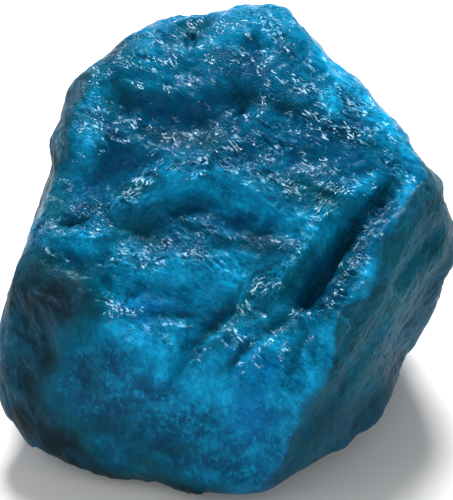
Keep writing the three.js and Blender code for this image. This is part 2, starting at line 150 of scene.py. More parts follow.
# %% [markdown]
# ## Fine ground for the carving
#
# The show face carries detail down to a quarter of a millimetre, while the flanks and the
# back need less. Every triangle could be divided twice, but that would spend most of them
# where nobody looks closely. So every triangle is divided once, and those that look
# towards the show side once more. A light smoothing after each division takes out the old
# flat triangles.

# %% Divide the skin
SHOW_TILT = math.radians(38)  # how far above level the show side looks
SHOW_OUT = np.array([0, -math.cos(SHOW_TILT), math.sin(SHOW_TILT)])
SHOW_ACROSS = np.array([1, 0, 0])
SHOW_UP = np.array([0, math.sin(SHOW_TILT), math.cos(SHOW_TILT)])
SHOW_MIDDLE = np.array([0, 0, 20.4])  # the point behind the middle of the show plan
FINE_FROM = 0.42  # how squarely a face must look to the show side to be divided twice
SETTLE_ROUNDS = 2  # the light smoothing after each division
SETTLE_SHARE = 0.4


def triangulated(bm):
    bmesh.ops.triangulate(bm, faces=[face for face in bm.faces if len(face.verts) > 3])


def divided(bm, edges):
    bmesh.ops.subdivide_edges(bm, edges=edges, cuts=1, use_grid_fill=True)
    triangulated(bm)
    worn(bm, SETTLE_ROUNDS, SETTLE_SHARE)


divided(stone, stone.edges[:])
stone.normal_update()
show_edges = {
    edge
    for face in stone.faces
    if face.normal.dot(SHOW_OUT) > FINE_FROM
    for edge in face.edges
}
divided(stone, list(show_edges))
print("triangles ready for carving:", len(stone.faces))

# %% [markdown]
# ## What is carved
#
# Each form is a small function of a spot on the show plan, a flat sheet laid over the
# show side with u to the right and v up it, in mm. It says how far the surface stands out
# there. Added together they move every point along its own normal, so one form can run
# over another without any cutting.

# %% Rolling ground
WAVES = 12
GOLDEN_ANGLE = math.pi * (3 - math.sqrt(5))
GOLDEN_SHARE = 0.618  # uneven steps in rate and phase keep the waves from falling in together


def smoothstep(x, low, high):
    t = np.clip((x - low) / (high - low), 0, 1)
    return t * t * (3 - 2 * t)


def lumps(points, size, shift=0):
    """Rolling ground, about -1 to 1: waves in directions spread by the golden angle."""
    total = np.zeros(len(points))
    for wave in range(WAVES):
        turn = GOLDEN_ANGLE * (wave + shift)
        rise = (2 * wave + 1) / WAVES - 1
        level = math.sqrt(1 - rise * rise)
        along = points @ np.array([level * math.cos(turn), level * math.sin(turn), rise])
        rate = (math.pi / size) * (0.75 + 0.5 * ((wave * GOLDEN_SHARE + shift * 0.37) % 1))
        total += np.sin(rate * along + 1.7 * wave + 2.3 * shift)
    return total / math.sqrt(WAVES)


# %% Paths and ellipses on the show plan
def along_path(spots, path, fade):
    """Signed distance to a path, positive to its left, 1 falling to 0 past its ends, and the run."""
    nearest = np.full(len(spots), np.inf)
    side = np.ones(len(spots))
    run = np.zeros(len(spots))
    walked = 0
    for start, end in zip(path, path[1:]):
        step = np.subtract(end, start)
        length = math.hypot(*step)
        offset = spots - start
        t = np.clip(offset @ step / length**2, 0, 1)
        away = offset - t[:, None] * step
        distance = np.hypot(away[:, 0], away[:, 1])
        closer = distance < nearest
        turn = np.where(step[0] * away[:, 1] - step[1] * away[:, 0] < 0, -1, 1)
        nearest = np.where(closer, distance, nearest)
        side = np.where(closer, turn, side)
        run = np.where(closer, walked + length * t, run)
        walked += length
    ends = smoothstep(run, 0, fade) * smoothstep(walked - run, 0, fade)
    return nearest * side, ends, run


def off_middle(spots, middle, radii, turn=0):
    """0 in the middle of an ellipse turned by some degrees, 1 on its edge, and more outside."""
    angle = math.radians(turn)
    dx, dy = (spots - middle).T
    x = (dx * math.cos(angle) + dy * math.sin(angle)) / radii[0]
    y = (dy * math.cos(angle) - dx * math.sin(angle)) / radii[1]
    return x * x + y * y


# %% Forms that follow a path
CHANNEL_FALL = 1.5  # a channel's walls come up to a fifth of its depth at its width


def groove(path, width, depth, lean=0, fade=1.5):
    """A channel. A lean above 0 makes the wall on the path's left the short, steep one."""

    def height(spots):
        signed, ends, _ = along_path(spots, path, fade)
        half = width * np.where(signed > 0, 1 - lean, 1 + lean)
        return -depth * ends * np.exp(-CHANNEL_FALL * (signed / half) ** 2)

    return height


def ledge(path, rise, run, edge=0.5, fade=2):
    """A step: the ground left of the path stands higher and falls back over the run."""

    def height(spots):
        signed, ends, _ = along_path(spots, path, fade)
        return rise * ends * smoothstep(signed, -edge, edge) * np.exp(-np.maximum(signed, 0) / run)

    return height


def rib(path, width, rise, fade=2):
    """A rounded rib along a path."""

    def height(spots):
        signed, ends, _ = along_path(spots, path, fade)
        return rise * ends * np.exp(-((signed / width) ** 2))

    return height


def ticks(path, spacing, reach, depth, fade=1.5):
    """Short uneven nicks across a path, as far to its right as the reach, as on a split grain."""

    def height(spots):
        signed, ends, run = along_path(spots, path, fade)
        phase = run / spacing + 0.35 * np.sin(1.7 * run) + 0.2 * np.sin(4.1 * run + 1.3 * signed)
        nick = (0.5 + 0.5 * np.cos(2 * math.pi * phase)) ** 3
        across = smoothstep(-signed, -0.3, 0.3) * smoothstep(signed, -reach, -0.4 * reach)
        return -depth * ends * across * nick

    return height


# %% Forms round a middle
def scoop(middle, radii, depth, turn=0):
    """A dished scoop, turned by some degrees."""

    def height(spots):
        return -depth * np.maximum(0, 1 - off_middle(spots, middle, radii, turn) / 2) ** 2

    return height


def knob(middle, radii, rise, turn=0):
    """A rounded knob, which is a scoop turned outwards."""
    return scoop(middle, radii, -rise, turn)


# %% The notched top rim, and the wide bowl below it
TOP_RIM = [
    scoop([-4.2, 26.9], [2.4, 2.4], 1.5),
    groove([[-4.5, 27], [-4.3, 25], [-3.8, 23.2]], 0.6, 1, 0, 1.2),
    knob([-9.9, 22.2], [3, 2.1], 1.3),
    knob([3.2, 25.6], [4.6, 1.6], 0.6, 12),
    scoop([3.6, 23], [1.9, 1.5], 0.5),
    scoop([-5.6, 21.4], [2.8, 1.3], 0.8),
    scoop([13.4, 21.4], [1.3, 1.6], 0.6),
]
BOWL_LIP = [
    [4.6, 17.6], [2.6, 15.4], [0.6, 13], [-2.4, 11.2], [-4.4, 11.6], [-6.6, 12],
    [-9.4, 13.2], [-12, 15.6],
]
UPPER_BOWL = [
    groove([[-14, 19.2], [-12.4, 17], [-10.6, 14.8]], 1.8, 1, 0.1),
    scoop([-6.9, 15], [4.4, 3], 1.7, -12),
    scoop([-0.8, 15.6], [3.8, 3.2], 1.7, 20),
    scoop([2.2, 17.6], [2.4, 1.2], 0.6),
    scoop([6, 15.2], [3.6, 2], 1, -25),
    ledge(BOWL_LIP, 1.2, 3, 0.6),
    scoop([7, 9.9], [4.6, 1.6], 0.7, -14),
    scoop([12, 13.6], [3.8, 1.7], 0.9, -40),
    scoop([-13.6, 9.2], [4, 3], 1.3),
]

# %% The rib that crosses the show face, the arched scoop under it, and the left shoulder
CROSSING_RIB = [
    [-14.7, 4.8], [-9.9, 7], [-7.3, 8.4], [-3.4, 8.9], [1.6, 7.8], [6, 5.8],
]
SCOOP_ARCH = [
    [-7, 5], [-4.5, 6.8], [-3, 7.9], [-0.5, 7.4], [1.9, 6.2], [3.7, 4.9], [5.6, 2.9],
    [7, 0.9],
]
CENTRAL_SCOOP = [
    rib(CROSSING_RIB, 1.9, 0.8, 3),
    rib([[3, 10], [9, 8.6], [13, 8]], 1.4, 0.7),
    ledge(SCOOP_ARCH, 1, 3.4, 0.7),
    scoop([1, 3.8], [6.2, 2.2], 1.5, -20),
    rib([[-5.4, 3.7], [-2.6, 2.7], [0.8, 0.6]], 0.8, 0.5, 1.5),
    scoop([-5.6, 4.8], [2.8, 1.3], 0.8, 14),
    scoop([-9.6, 2.7], [2.4, 1.6], 1.5, -8),
    ledge([[8, 0.6], [4.4, -0.2], [0.2, -0.4], [-5.1, -0.2], [-9.2, 0.4], [-11.6, 2]], 0.6, 2.6, 1.3),
]
LEFT_SHOULDER = [
    groove([[-21, 4], [-19, 3.3], [-17, 3.3], [-15, 3.9], [-13, 3.4]], 0.7, 0.35, 0, 3),
    knob([-16.2, 1.6], [3, 2], 1.5),
    knob([-20.6, 1.2], [1.8, 2], 1),
    groove([[-18.6, 1.6], [-17.6, -0.8], [-17, -3.6]], 0.9, 0.8),
    knob([-11.4, -1.4], [3, 2.2], 1.2, 20),
    knob([-5.6, -2.2], [4.4, 2.2], 1.2, -6),
    groove([[-14.4, -1.8], [-14, -4.4], [-13.6, -7.4]], 1, 0.6),
    scoop([-3.6, -5.6], [4.8, 1.4], 0.5, 4),
    scoop([-11.4, -5], [2.4, 1.4], 0.8),
    groove([[-9.8, -7.1], [-7.4, -7.7], [-4.6, -7.9], [-2.4, -7.3]], 0.7, 0.3, 0.3),
]

# %% The long channel, and the cleavage steps that run up to the right beside it
CHANNEL = [[20, 7], [16.5, 4.2], [13.6, 1.6], [11.6, -1], [9.8, -4.2], [7.8, -7.6]]
CLEAVAGE_STEPS = [
    groove(CHANNEL, 1.9, 2.6, 0.15, 3),
    groove([[9, -6.4], [5.6, -8.4], [2.6, -11], [0, -13.6]], 0.9, 0.7, 0.2, 3),
    groove([[1, -3.6], [-2.4, -8.6], [-4.8, -11.6], [-7.4, -15.4]], 1, 1.3, 0.3, 3),
    groove([[8.8, -9.4], [7.5, -12.4], [6, -15.6]], 0.7, 0.35, 0, 2.5),
    groove([[13.4, 6], [11.6, 3.2], [9, -1], [6.6, -4.6]], 0.9, 0.8, 0),
    rib([[21, 7.4], [18.2, 3.8], [16.6, 0.4], [15.2, -3.6], [13.6, -7.8]], 0.8, 0.7),
    rib([[14.6, 8], [12.2, 4], [9.6, 0.2], [7, -3.8], [4.6, -7]], 1.1, 1.2),
    rib([[12, 5.6], [9.4, 1.8], [6.6, -2.4], [4, -6.6]], 1, 0.8),
    rib([[1.2, -7.6], [-1.8, -10.6], [-4.6, -14]], 0.9, 0.6),
    ledge([[14, -9.2], [12.4, -7.8], [11, -7], [9.2, -6.6], [7.4, -7.4]], 1.3, 2.8, 0.35, 1),
    ledge([[7.4, -7.4], [5.6, -9.2], [3.3, -11.2]], 0.7, 2, 0.4, 1),
    ledge([[12.6, -13.6], [10.6, -12], [8.6, -11.8]], 0.8, 1.8, 0.5, 1),
    ledge([[1.8, -11.9], [-0.8, -9.9], [-3, -9.6]], 0.7, 2, 0.5, 1),
    ledge([[17.4, 1.4], [15.8, 2.6], [14.8, 2.6]], 0.6, 1.6, 0.4, 0.6),
    ledge([[16.2, -3.6], [14.2, -2], [12.8, -2.2]], 0.6, 1.6, 0.4, 0.6),
    ticks([[20, 7.2], [17.4, 4], [15.8, 0.8], [14.4, -3], [12.6, -7]], 0.8, 2.6, 0.24),
    ticks([[13.2, 7], [11, 3.4], [8.4, -0.6], [6, -4.4]], 0.7, 1.5, 0.12),
]

# %% The near edge, the front break and the two flanks
NEAR_EDGE = [rib([[13, -9.8], [8.6, -16.4], [6.9, -20.2], [4.2, -28]], 1.2, 0.6, 5)]
FRONT_FACE = [
    knob([-9, -15], [5, 3.6], 0.7, 20),
    scoop([2.6, -19], [3, 3.4], 0.6),
    knob([-2, -22.6], [3.6, 2], 0.5),
    scoop([-11, -22], [4, 2], 0.5, 20),
]
RIGHT_FLANK = [
    ledge([[23, 1.6], [19.4, -5.6], [16, -11.6], [11.4, -17.6], [7.6, -24]], 0.9, 3.4, 0.6),
    ledge([[25.4, -3], [22.4, -9.6], [18.8, -15.4], [14.4, -21.4]], 0.7, 2.6, 0.6),
    groove([[24.6, 3.6], [21.6, -1], [19, -5.2]], 0.9, 0.7),
    scoop([20.2, -13.4], [1.4, 2.8], 0.7, -30),
    knob([16.6, -19.4], [1.8, 1.6], 0.5),
    knob([12.6, -22.4], [1.8, 1.2], 0.4),
    scoop([13.4, -14.8], [1.1, 3.4], 0.6, -34),
]
LEFT_FLANK = [
    groove([[-19.2, -15.4], [-17.9, -18.9], [-13.7, -23.6]], 1.4, 0.6),
    groove([[-24.4, -6.4], [-23.2, -11], [-22.6, -15.6]], 1.4, 0.6),
    scoop([-21, -9.6], [1.6, 3.6], 0.7, 14),
    ledge([[-16.4, -8.4], [-19.4, -5.4], [-23.4, -3.8]], 0.8, 2.4, 0.7),
    knob([-18.8, -12.6], [1.8, 2.6], 0.6, 10),
]
SHOW_FORMS = (
    TOP_RIM
    + UPPER_BOWL
    + CENTRAL_SCOOP
    + LEFT_SHOULDER
    + CLEAVAGE_STEPS
    + NEAR_EDGE
    + FRONT_FACE
    + RIGHT_FLANK
    + LEFT_FLANK
)
print("forms drawn on the show plan:", len(SHOW_FORMS))

# %% [markdown]
# ## Carving
#
# The big forms go in first, along the normals of the worn block. Cutting them with other
# bodies would leave hard seams, and a stone has none. On the sides away from the show plan
# the feldspar has broken along its cleavage, so there the stone gets long steps that are
# stacked in one direction.

# %% Cleavage steps on the plain sides
STEP_RUN, STEP_RISE = 6.2, 0.7  # how far apart the cleavage steps are, and how high
RISER = 0.2  # the share of a step's run that its steep side takes
STEP_LEVEL = 0.6  # the share of its rise that lies below the worn block
STEP_BEND, STEP_BEND_SIZE = 0.5, 10  # how far the sheets bend, as a share of a run
STEP_PATCH_SIZE, STEP_PATCHES = 15, (-0.5, 0.6)  # they show in patches of this size
CLEAVAGE = np.array([0.55, -0.35, -0.76])  # the way the sheets are stacked
CLEAVAGE /= np.linalg.norm(CLEAVAGE)


def cleavage_steps(places):
    """Broken sheets of feldspar, each standing over the next along a sharp edge."""
    along = places @ CLEAVAGE / STEP_RUN + STEP_BEND * lumps(places, STEP_BEND_SIZE, 5)
    run = along % 1
    profile = np.where(run < 1 - RISER, run / (1 - RISER), (1 - run) / RISER)
    patchy = smoothstep(lumps(places, STEP_PATCH_SIZE, 6), *STEP_PATCHES)
    return STEP_RISE * (profile - STEP_LEVEL) * patchy


# %% Carve the big forms, along the block's normals
ROUGHNESS = [(8, 0.3, 1), (4, 0.2, 2)]  # size and height of the lumps all over, and a shift
WANDER_SIZE, WANDER_BY = 5, 0.4  # how the forms wander off their drawn lines
SHOW_FACING = (0.05, 0.35)  # a spot takes on the show side's forms as it turns to it
FORM_SHARE = 0.85  # the forms are drawn a little bolder than the stone wears them
DENTS = [  # in the outline: a place, a radius and a depth, which is below 0 for a swelling
    ((-21, 1, 28), 6, 1.5),
    ((-21, 8, 30), 6, 0.5),
    ((-15.4, 15, 38.6), 2.6, 0.5),
    ((-2, 20.4, 42), 5, 1.2),
    ((12.6, 14.6, 38), 3, 0.4),
    ((-27, -12, 8), 6, -0.3),
]


def on_show_plan(places):
    offset = places - SHOW_MIDDLE
    return np.stack([offset @ SHOW_ACROSS, offset @ SHOW_UP], axis=1)


places = places_of(stone)
block_normals = normals_of(stone)
facing = smoothstep(block_normals @ SHOW_OUT, *SHOW_FACING)
spots = on_show_plan(places)
spots[:, 0] += WANDER_BY * lumps(places, WANDER_SIZE, 3)
spots[:, 1] += WANDER_BY * lumps(places, WANDER_SIZE, 4)
height = sum(rise * lumps(places, size, shift) for size, rise, shift in ROUGHNESS)
for middle, radius, depth in DENTS:
    height -= depth * np.exp(-((np.linalg.norm(places - middle, axis=1) / radius) ** 2))
height += (1 - facing) * cleavage_steps(places)
height += FORM_SHARE * facing * sum(form(spots) for form in SHOW_FORMS)
move_to(stone, places + block_normals * height[:, None])
spots_drawn = spots  # where each point fell on the show plan when the forms were carved
print("carved from", round(height.min(), 2), "to", round(height.max(), 2), "mm")

# %% [markdown]
# ## A map of its colours
#
# Colour in a feldspar comes in soft pools, and no noise would put them in the right
# places. So the pools are set out one by one: each patch is an ellipse on
# the show plan, with its middle, its two radii in mm and, where it is turned, the degrees.
# Some pools are not the stone's own colour: the deep and dark ones are partly painted shade, and the milky
# ones are painted light.

# %% Deep blue: the stone's own deep tone, and painted shade in hollows, on walls turned from the light and along the lower edge
DEEP = [
    ((3.6, 22.6), (1.4, 1)), ((0.4, 22.4), (2.1, 0.8)), ((-1.9, 16.6), (2.8, 1.8)),
    ((-7.1, 15), (3.4, 1.8), -15), ((-6.4, 12.8), (4.8, 1.5), -4), ((-10.4, 14), (1.6, 1.2), -30),
    ((2, 20.4), (3.4, 0.9)), ((9, 12.2), (4.4, 1.2), -10), ((-3.6, 15.4), (6.9, 2.6), -10),
    ((5.4, 16.2), (3.4, 1), -14), ((11.2, 12.8), (3.9, 0.9), -18), ((-12.5, 9.4), (2.6, 1.8)),
    ((-15.4, 7.2), (2.8, 0.9), 10), ((4.6, 11), (5.6, 1), -6), ((8.6, 10.4), (5, 0.9), -8),
    ((1.2, 3.6), (3.8, 1.1), -20), ((3.4, 0.8), (3, 1.1), -4), ((-20.6, -5.4), (1.6, 1.6)),
    ((-6.9, 3), (1, 0.8)), ((3.4, -18.6), (2, 1.8)), ((9, 8.8), (2.4, 0.8), -8),
    ((11, 11.6), (3, 0.8), -12), ((3.6, 19.4), (2.8, 1), -6), ((5.6, 17.6), (1.8, 1)),
    ((-3, 18), (1.8, 1.2)), ((11.4, -18.4), (1.5, 3.6), -24), ((12.2, -14.6), (1.2, 1.4)),
    ((-19.8, -3.2), (2, 1.6)), ((-20.6, -6), (1.4, 2)), ((-14, -24.6), (2.8, 1.2), -30),
    ((-17.4, -20), (1.6, 1.4)), ((-22.2, -20.6), (1, 1.4)), ((-6.6, 11.8), (3, 0.9), -6),
    ((-13.4, 23), (1.2, 2.6), -40), ((-12.6, 20.4), (1, 1)), ((-4.4, 0.2), (1.2, 0.8)),
    ((-2.4, 3.8), (1.8, 0.7), -24), ((-12.6, -13), (1.8, 2.6)), ((-6.6, -19.6), (2, 1.2)),
    ((17.4, 3.6), (1, 2.2), -42), ((14.6, -0.4), (1, 2.6), -38), ((12.4, -4), (1.2, 2), -38),
    ((13.4, 11), (2.4, 1), -20), ((-4.4, -19), (3, 1)), ((-13.6, -18.6), (4.6, 3.4), -12),
    ((-8, -21.4), (6, 2.4), -8), ((-17, -14.6), (2.2, 2.6)), ((-3, -24.4), (6, 1.6), -8),
    ((-9, -16), (3, 1.6)),
]

# %% Royal blue on the front break
ROYAL = [
    ((-8.8, -7), (2, 2)), ((3.6, -13), (2.8, 2.2)), ((2.6, -17.8), (2.2, 2.8)),
]

# %% Dark patches: painted shade in hollows, grooves, on walls turned from the light and along the lower left edge
DARK = [
    ((-2.1, 12.6), (1.8, 0.8)), ((2.1, 17.4), (1.2, 0.6), 20), ((-15.4, -5.7), (1, 2.3)),
    ((-20.4, -4.6), (3.4, 2.8), -20), ((-18, -6.6), (2, 2)), ((-24, -19), (3.4, 2.6), -50),
    ((-18.6, -22.4), (3.6, 1.8), -35), ((-12, -25.6), (5.4, 1.5), -12),
    ((-7.7, -22.5), (5.3, 1.2), -8), ((9.8, -4.2), (1.2, 2.2), -38), ((12.4, -0.8), (0.5, 2.4), -36),
    ((17.8, 6.2), (0.5, 1.6), -38), ((0.8, -12.2), (0.5, 1.8), -42), ((-13, 23.4), (0.8, 2.6), -42),
    ((-12.2, 18.4), (0.8, 2.8), 40), ((-4, -27), (4, 1), -6), ((-14.4, -24.2), (2.6, 1.4), -36),
    ((-1.9, -8.9), (0.45, 4.4), -35), ((4.2, 0.7), (3.2, 0.9), -3), ((-6.6, 13.2), (2.6, 0.8), -8),
    ((-2.6, 14.2), (1.2, 0.7)), ((-12, 7.2), (1.2, 0.7)), ((-20.4, -1.8), (1.2, 1)),
    ((-6.8, 13), (4, 0.9), -4), ((-2.8, 12.8), (1.6, 1)), ((6.6, 16.4), (1.8, 0.7), -14),
    ((10.8, -6.6), (1.6, 0.9), -20), ((-15.8, -14.4), (1.4, 2.6)), ((-12.6, -20), (3.4, 1.8), -12),
    ((-9.4, -24), (4, 1.6), -12), ((-20, -12), (1.2, 1.6)), ((-7.2, -7.4), (2.6, 0.3)),
    ((-8.8, 1.7), (1.4, 0.8)),
]

# %% Green veins and edges
GREEN = [
    ((-19.6, 5), (1.4, 3)), ((13.2, 1.4), (1, 3.4), -40), ((-10.2, 2.4), (2.2, 1.2)),
    ((-21.2, -1.4), (1.4, 1.6)), ((-13.2, 16.4), (1.6, 0.8), -45), ((-12.8, 22.2), (3, 1.4), 38),
    ((-2.5, 13), (1.8, 0.9)), ((-15.8, -5.8), (1.6, 3)), ((-10.4, 6.8), (2, 0.8), 20),
    ((-4.2, 25.4), (1.6, 1.2)), ((13.8, -0.8), (0.9, 4.4), -36), ((7.2, -3), (1, 4.4), -38),
    ((1.6, -6.6), (0.7, 4.4), -36), ((10, 6.4), (4, 1.2), -20), ((7.2, -12.4), (0.6, 2.4), -25),
    ((4.6, -8.8), (0.6, 3.2), -50),
]

# %% Milky and icy blue: painted light, where thin edges glow through and swellings and glinting spots catch the light
LIT_PATCHES = [
    ((12.4, 21), (1.2, 2.4), 38), ((15.4, 17.9), (1.1, 2.4), 40), ((18.3, 14.2), (1.1, 2.6), 35),
    ((20.4, 11.4), (0.7, 1.2), 30), ((11.8, 16.6), (1, 1.6)), ((-14.4, 17.9), (2, 1.2), 20),
    ((-16, 12), (1.2, 2.4), -6), ((-3.4, 7.4), (4.4, 1.3), -4), ((2.4, 5), (3.6, 1.4), -32),
    ((6.6, 2.6), (1.8, 0.8), -45), ((-16.6, 0.6), (2.4, 1.2)), ((-11.4, -3.6), (1.6, 2.4)),
    ((-8.8, -2.9), (2.5, 1)), ((-5, -3), (4, 1.6)), ((-0.4, -3.6), (2, 3.4), -20),
    ((-3.4, -5), (2.2, 1)), ((-11.4, -8.4), (1.6, 1)), ((-7.7, -11.9), (2.8, 1.4), 10),
    ((-10.4, -9.6), (2.6, 1.6)), ((-6.4, -13.4), (2.2, 1.4), 20), ((-3, -15.2), (2.4, 1.8)),
    ((-3.6, -9.8), (1.4, 0.9)), ((-1.3, -12.7), (1.8, 1.8)), ((-0.4, -16.4), (1.4, 1.6)),
    ((-0.8, -12.8), (1.2, 1.4)), ((11.2, -10.2), (1.8, 2.1), -30), ((9.2, -14.1), (1.2, 2.5), -30),
    ((5.6, -16.2), (1.4, 2.5), -10), ((4.6, -10.6), (3.4, 1.6), -25), ((6.4, -13.6), (2.6, 2), -20),
    ((3.2, -14), (1.6, 2)), ((8, -1.2), (0.8, 2.4), -36), ((11, 1.4), (1, 1.9), -38),
    ((16, 7.4), (1.6, 0.8), 30), ((8.2, -12), (1.4, 2.4), -25), ((16.6, -1.4), (0.6, 3.5), -35),
    ((14.5, -6.4), (0.7, 2.3), -35), ((20.2, 6.8), (0.8, 1.4), -40), ((0.4, 4.6), (1.8, 0.8), -10),
    ((-7.4, 6.8), (2.6, 0.9), 12), ((4.8, 24), (0.8, 1.4)), ((9, 2.8), (1.4, 1.4), -40),
    ((5.4, -7.4), (1.1, 1.8), -36), ((-6.4, -9.8), (1.4, 2)), ((4.4, -13.4), (3.4, 1.8), -10),
    ((8.2, -13.4), (1.6, 1.8)), ((0.6, -14.6), (1.6, 0.9)), ((10.6, -11.6), (1.2, 1.4)),
]

# %% Where the cleavage flats flash
GLITTER = [
    ((-10, 22), (1.9, 1.1), -10), ((-6.6, 24.8), (1.6, 0.8), -20), ((0.6, 26.4), (3.2, 0.8), 14),
    ((-4, 25), (2.2, 0.6)), ((5, 25.4), (1, 1.6)), ((2.7, 21.6), (3.2, 1.2), 4),
    ((7.4, 22.4), (0.8, 2), 20), ((-15.6, 18.6), (2, 1.6), -40), ((-15, 13.8), (1.3, 1.6)),
    ((-9.6, 14), (2.4, 0.7), -32), ((1.4, 17.9), (0.8, 0.7)), ((4, 17), (1, 1.2), -20),
    ((8.6, 18.4), (2, 1.6), -30), ((11.6, 17.8), (1.2, 1)), ((14.6, 16.8), (1.8, 2.6), 40),
    ((11, 14.2), (3.2, 1.6), -20), ((15, 12.8), (2, 1), -30), ((18, 13.4), (1, 1.8), 35),
    ((4.6, 14.4), (2.4, 0.9), -20), ((1.2, 13.8), (1, 0.7)), ((4.6, 12), (3, 0.9), -12),
    ((0, 11.4), (2.4, 0.8)), ((-3, 10), (1.6, 0.7)), ((0.6, 9.3), (2, 0.8), -8),
    ((4.4, 8), (2.8, 1), -24), ((7.4, 6.6), (1, 0.8), -30), ((-12.4, 6.2), (3.2, 1.2), 24),
    ((-9, 8), (1.8, 1), 20), ((-3.4, 8.5), (1, 0.6)), ((-2.6, 7.6), (2, 0.7), -5),
    ((0.8, 6.4), (1.6, 0.6), -25), ((-14.6, 12), (1.2, 1.6)), ((1, 22.4), (1, 0.8)),
    ((18.6, 9.4), (1.4, 0.8), -40), ((-19, -0.6), (1.4, 0.8)), ((-5.8, 9.4), (1.6, 0.6), 20),
    ((-15.4, 4.8), (1, 0.7)), ((12.4, 6.6), (2, 0.9), 10), ((15.2, 7.4), (1.3, 1)),
    ((12, 8.8), (1.6, 0.6), 10), ((20.5, 7.8), (0.7, 0.8)), ((10.4, 3.6), (1.8, 0.9), 45),
    ((14.2, 2.4), (0.6, 1), -40), ((-21.4, 2.2), (1.1, 1.2)), ((-16.2, 2.4), (2, 1.1), -10),
    ((-16.6, 0.9), (1.6, 0.6)), ((-12, -1.2), (2.4, 1), 8), ((-8, 0.4), (2, 0.7)),
    ((-9.4, -2.2), (2, 0.7)), ((-3, -1), (1.5, 1.8), 20), ((-4, -4.4), (1.2, 0.7)),
    ((-4.6, 3.6), (1.6, 0.8), -30), ((-1.8, 2.2), (2, 0.6), -30), ((7.8, -0.6), (1, 1.6), -40),
    ((4.6, -4.4), (1, 1.3), -35), ((2, -7.2), (1.2, 0.8)), ((-11.4, -7), (1.6, 0.8)),
    ((-6.6, -8.5), (2.2, 0.5), -4), ((9.6, -7.5), (1.6, 0.8), -15), ((6.2, -8.8), (1.4, 0.9), 30),
    ((4.6, -10.6), (1.2, 0.8), 30), ((-3.8, -12.4), (1.2, 0.9), 40), ((-0.4, -14.2), (0.8, 1)),
    ((3.2, -13), (1.2, 0.8)), ((-11.2, -3.4), (1.6, 1.3)), ((17.4, 4.2), (0.8, 1.6), -45),
    ((15, 0.6), (0.9, 2), -38), ((13.6, -2.6), (1, 2), -36), ((12, -5), (1.1, 1.4), -36),
    ((11.4, -7), (1.6, 0.8), -30), ((5.4, -12), (3, 1.4), -22), ((10, -11.2), (1.6, 1.6), -20),
    ((1.8, -15), (1.6, 1)), ((6.2, -16), (1.4, 1)), ((-9.6, -9.4), (2, 0.7), 10),
    ((-5.6, -11.2), (1.6, 0.7), 20),
]

# %% How strong the patches are at a spot
PATCH_FALL = 0.7  # they keep half their strength at their radii


def patched(spots, patches):
    """1 in the middle of each patch, falling softly to 0 round it."""
    strength = np.zeros(len(spots))
    for patch in patches:
        strength = np.maximum(strength, np.exp(-PATCH_FALL * off_middle(spots, *patch)))
    return strength


print("patches:", sum(len(patches) for patches in (DEEP, ROYAL, DARK, GREEN, LIT_PATCHES, GLITTER)))

# %% [markdown]
# ## Fine breakage
#
# Close up, the stepped face is torn into small scales that lie two ways across it. The
# right flank and the back have shallow dishes, and the weathered sides a fibrous grain. A
# bump in the finish could fake them, but the outline would stay smooth, so they are carved
# too. The grain is noise drawn out along a direction: squeezing the coordinates across it
# makes the lumps long and thin. The scales and dishes are cells, each hollow in its middle
# and sharp at its edge.

# %% Grain and dishes along a direction
SEED_SHIFT = 10  # how far apart two seeds lie in the noise


def grain_axes(along):
    """A direction, and two more square to it."""
    axis = Vector(along).normalized()
    side = axis.orthogonal().normalized()
    return axis, side, axis.cross(side)


def squeezed(places, along, size, stretch, seed):
    """Coordinates in which a lump is `size` mm across and `stretch` times as long."""
    axis, side, third = grain_axes(along)
    rows = np.array([axis / stretch, side, third]) / size
    return (places @ rows.T + SEED_SHIFT * seed).tolist()


def grain(places, along, size, stretch, seed):
    """Noise from -1 to 1, drawn out along a direction."""
    return np.array([noise.noise(place) for place in squeezed(places, along, size, stretch, seed)])


def ridged(values):
    """Turns rolling noise into sharp crests with wide hollows between them."""
    return 1 - 3 * np.abs(values)


def dishes(places, along, size, stretch, seed):
    """Small dishes that meet in sharp crests: how far each point is from its cell's edge."""
    heights = []
    for place in squeezed(places, along, size, stretch, seed):
        own, other = noise.voronoi(place)[1][:2]
        between = other - own
        heights.append(((own + other) / 2 - Vector(place)).dot(between) / between.length)
    return np.array(heights)


def on_show(degrees):
    """The direction in space that runs at this angle across the show plan."""
    angle = math.radians(degrees)
    return math.cos(angle) * SHOW_ACROSS + math.sin(angle) * SHOW_UP


# %% Lines between the fresh breaks and the weathered skin, on the show plan
LEFT_EDGE = [
    [-25, 1], [-21, -2.9], [-16.8, -3.4], [-16, -6], [-17.8, -8.6], [-19.6, -11],
    [-20, -14.5], [-18.6, -18.5], [-15.6, -22], [-11, -24.6], [-5, -27],
]
CREST_LINE = [
    [4.1, -30], [6.8, -20.2], [8.5, -16.6], [13.3, -8.6], [15.6, -4.8], [16.6, -2.4],
    [17.6, 0], [18.8, 3], [21.4, 6.9], [24, 14],
]
BREAK_LINE = [
    [-16, -8], [-11, -8.6], [-6, -10.4], [-2, -13.4], [3, -15.6], [8, -15.6], [12, -12.8],
    [15, -9],
]
SLIVER_LINE = [
    [-16.4, 22], [-17.3, 14.1], [-18, 9.7], [-19.6, 8.6], [-21.8, 5.3], [-23.3, 2.1],
    [-25, -2],
]

# %% Each kind of surface as a share from 0 to 1
BLEND = 2  # how softly one kind of surface turns into the next, in mm
ZONE_WANDER, ZONE_WANDER_SIZE = 0.9, 4  # how the zones wander off their drawn lines
SHOW_SIDE = (-0.25, 0)  # the show side ends where the block turns away from it
BEYOND_REACH = 10  # how far past the crest the right flank keeps changing
SLIVER_HEIGHT, SLIVER_DEPTH = (2, 6), (-3, 4)  # the pale rim fades in up the plan and out behind
SLIVER_WANDER = 2.4


def past(line):
    """How far each spot lies to the right of the way a line runs, in mm."""
    return -along_path(spots, line, 1)[0]


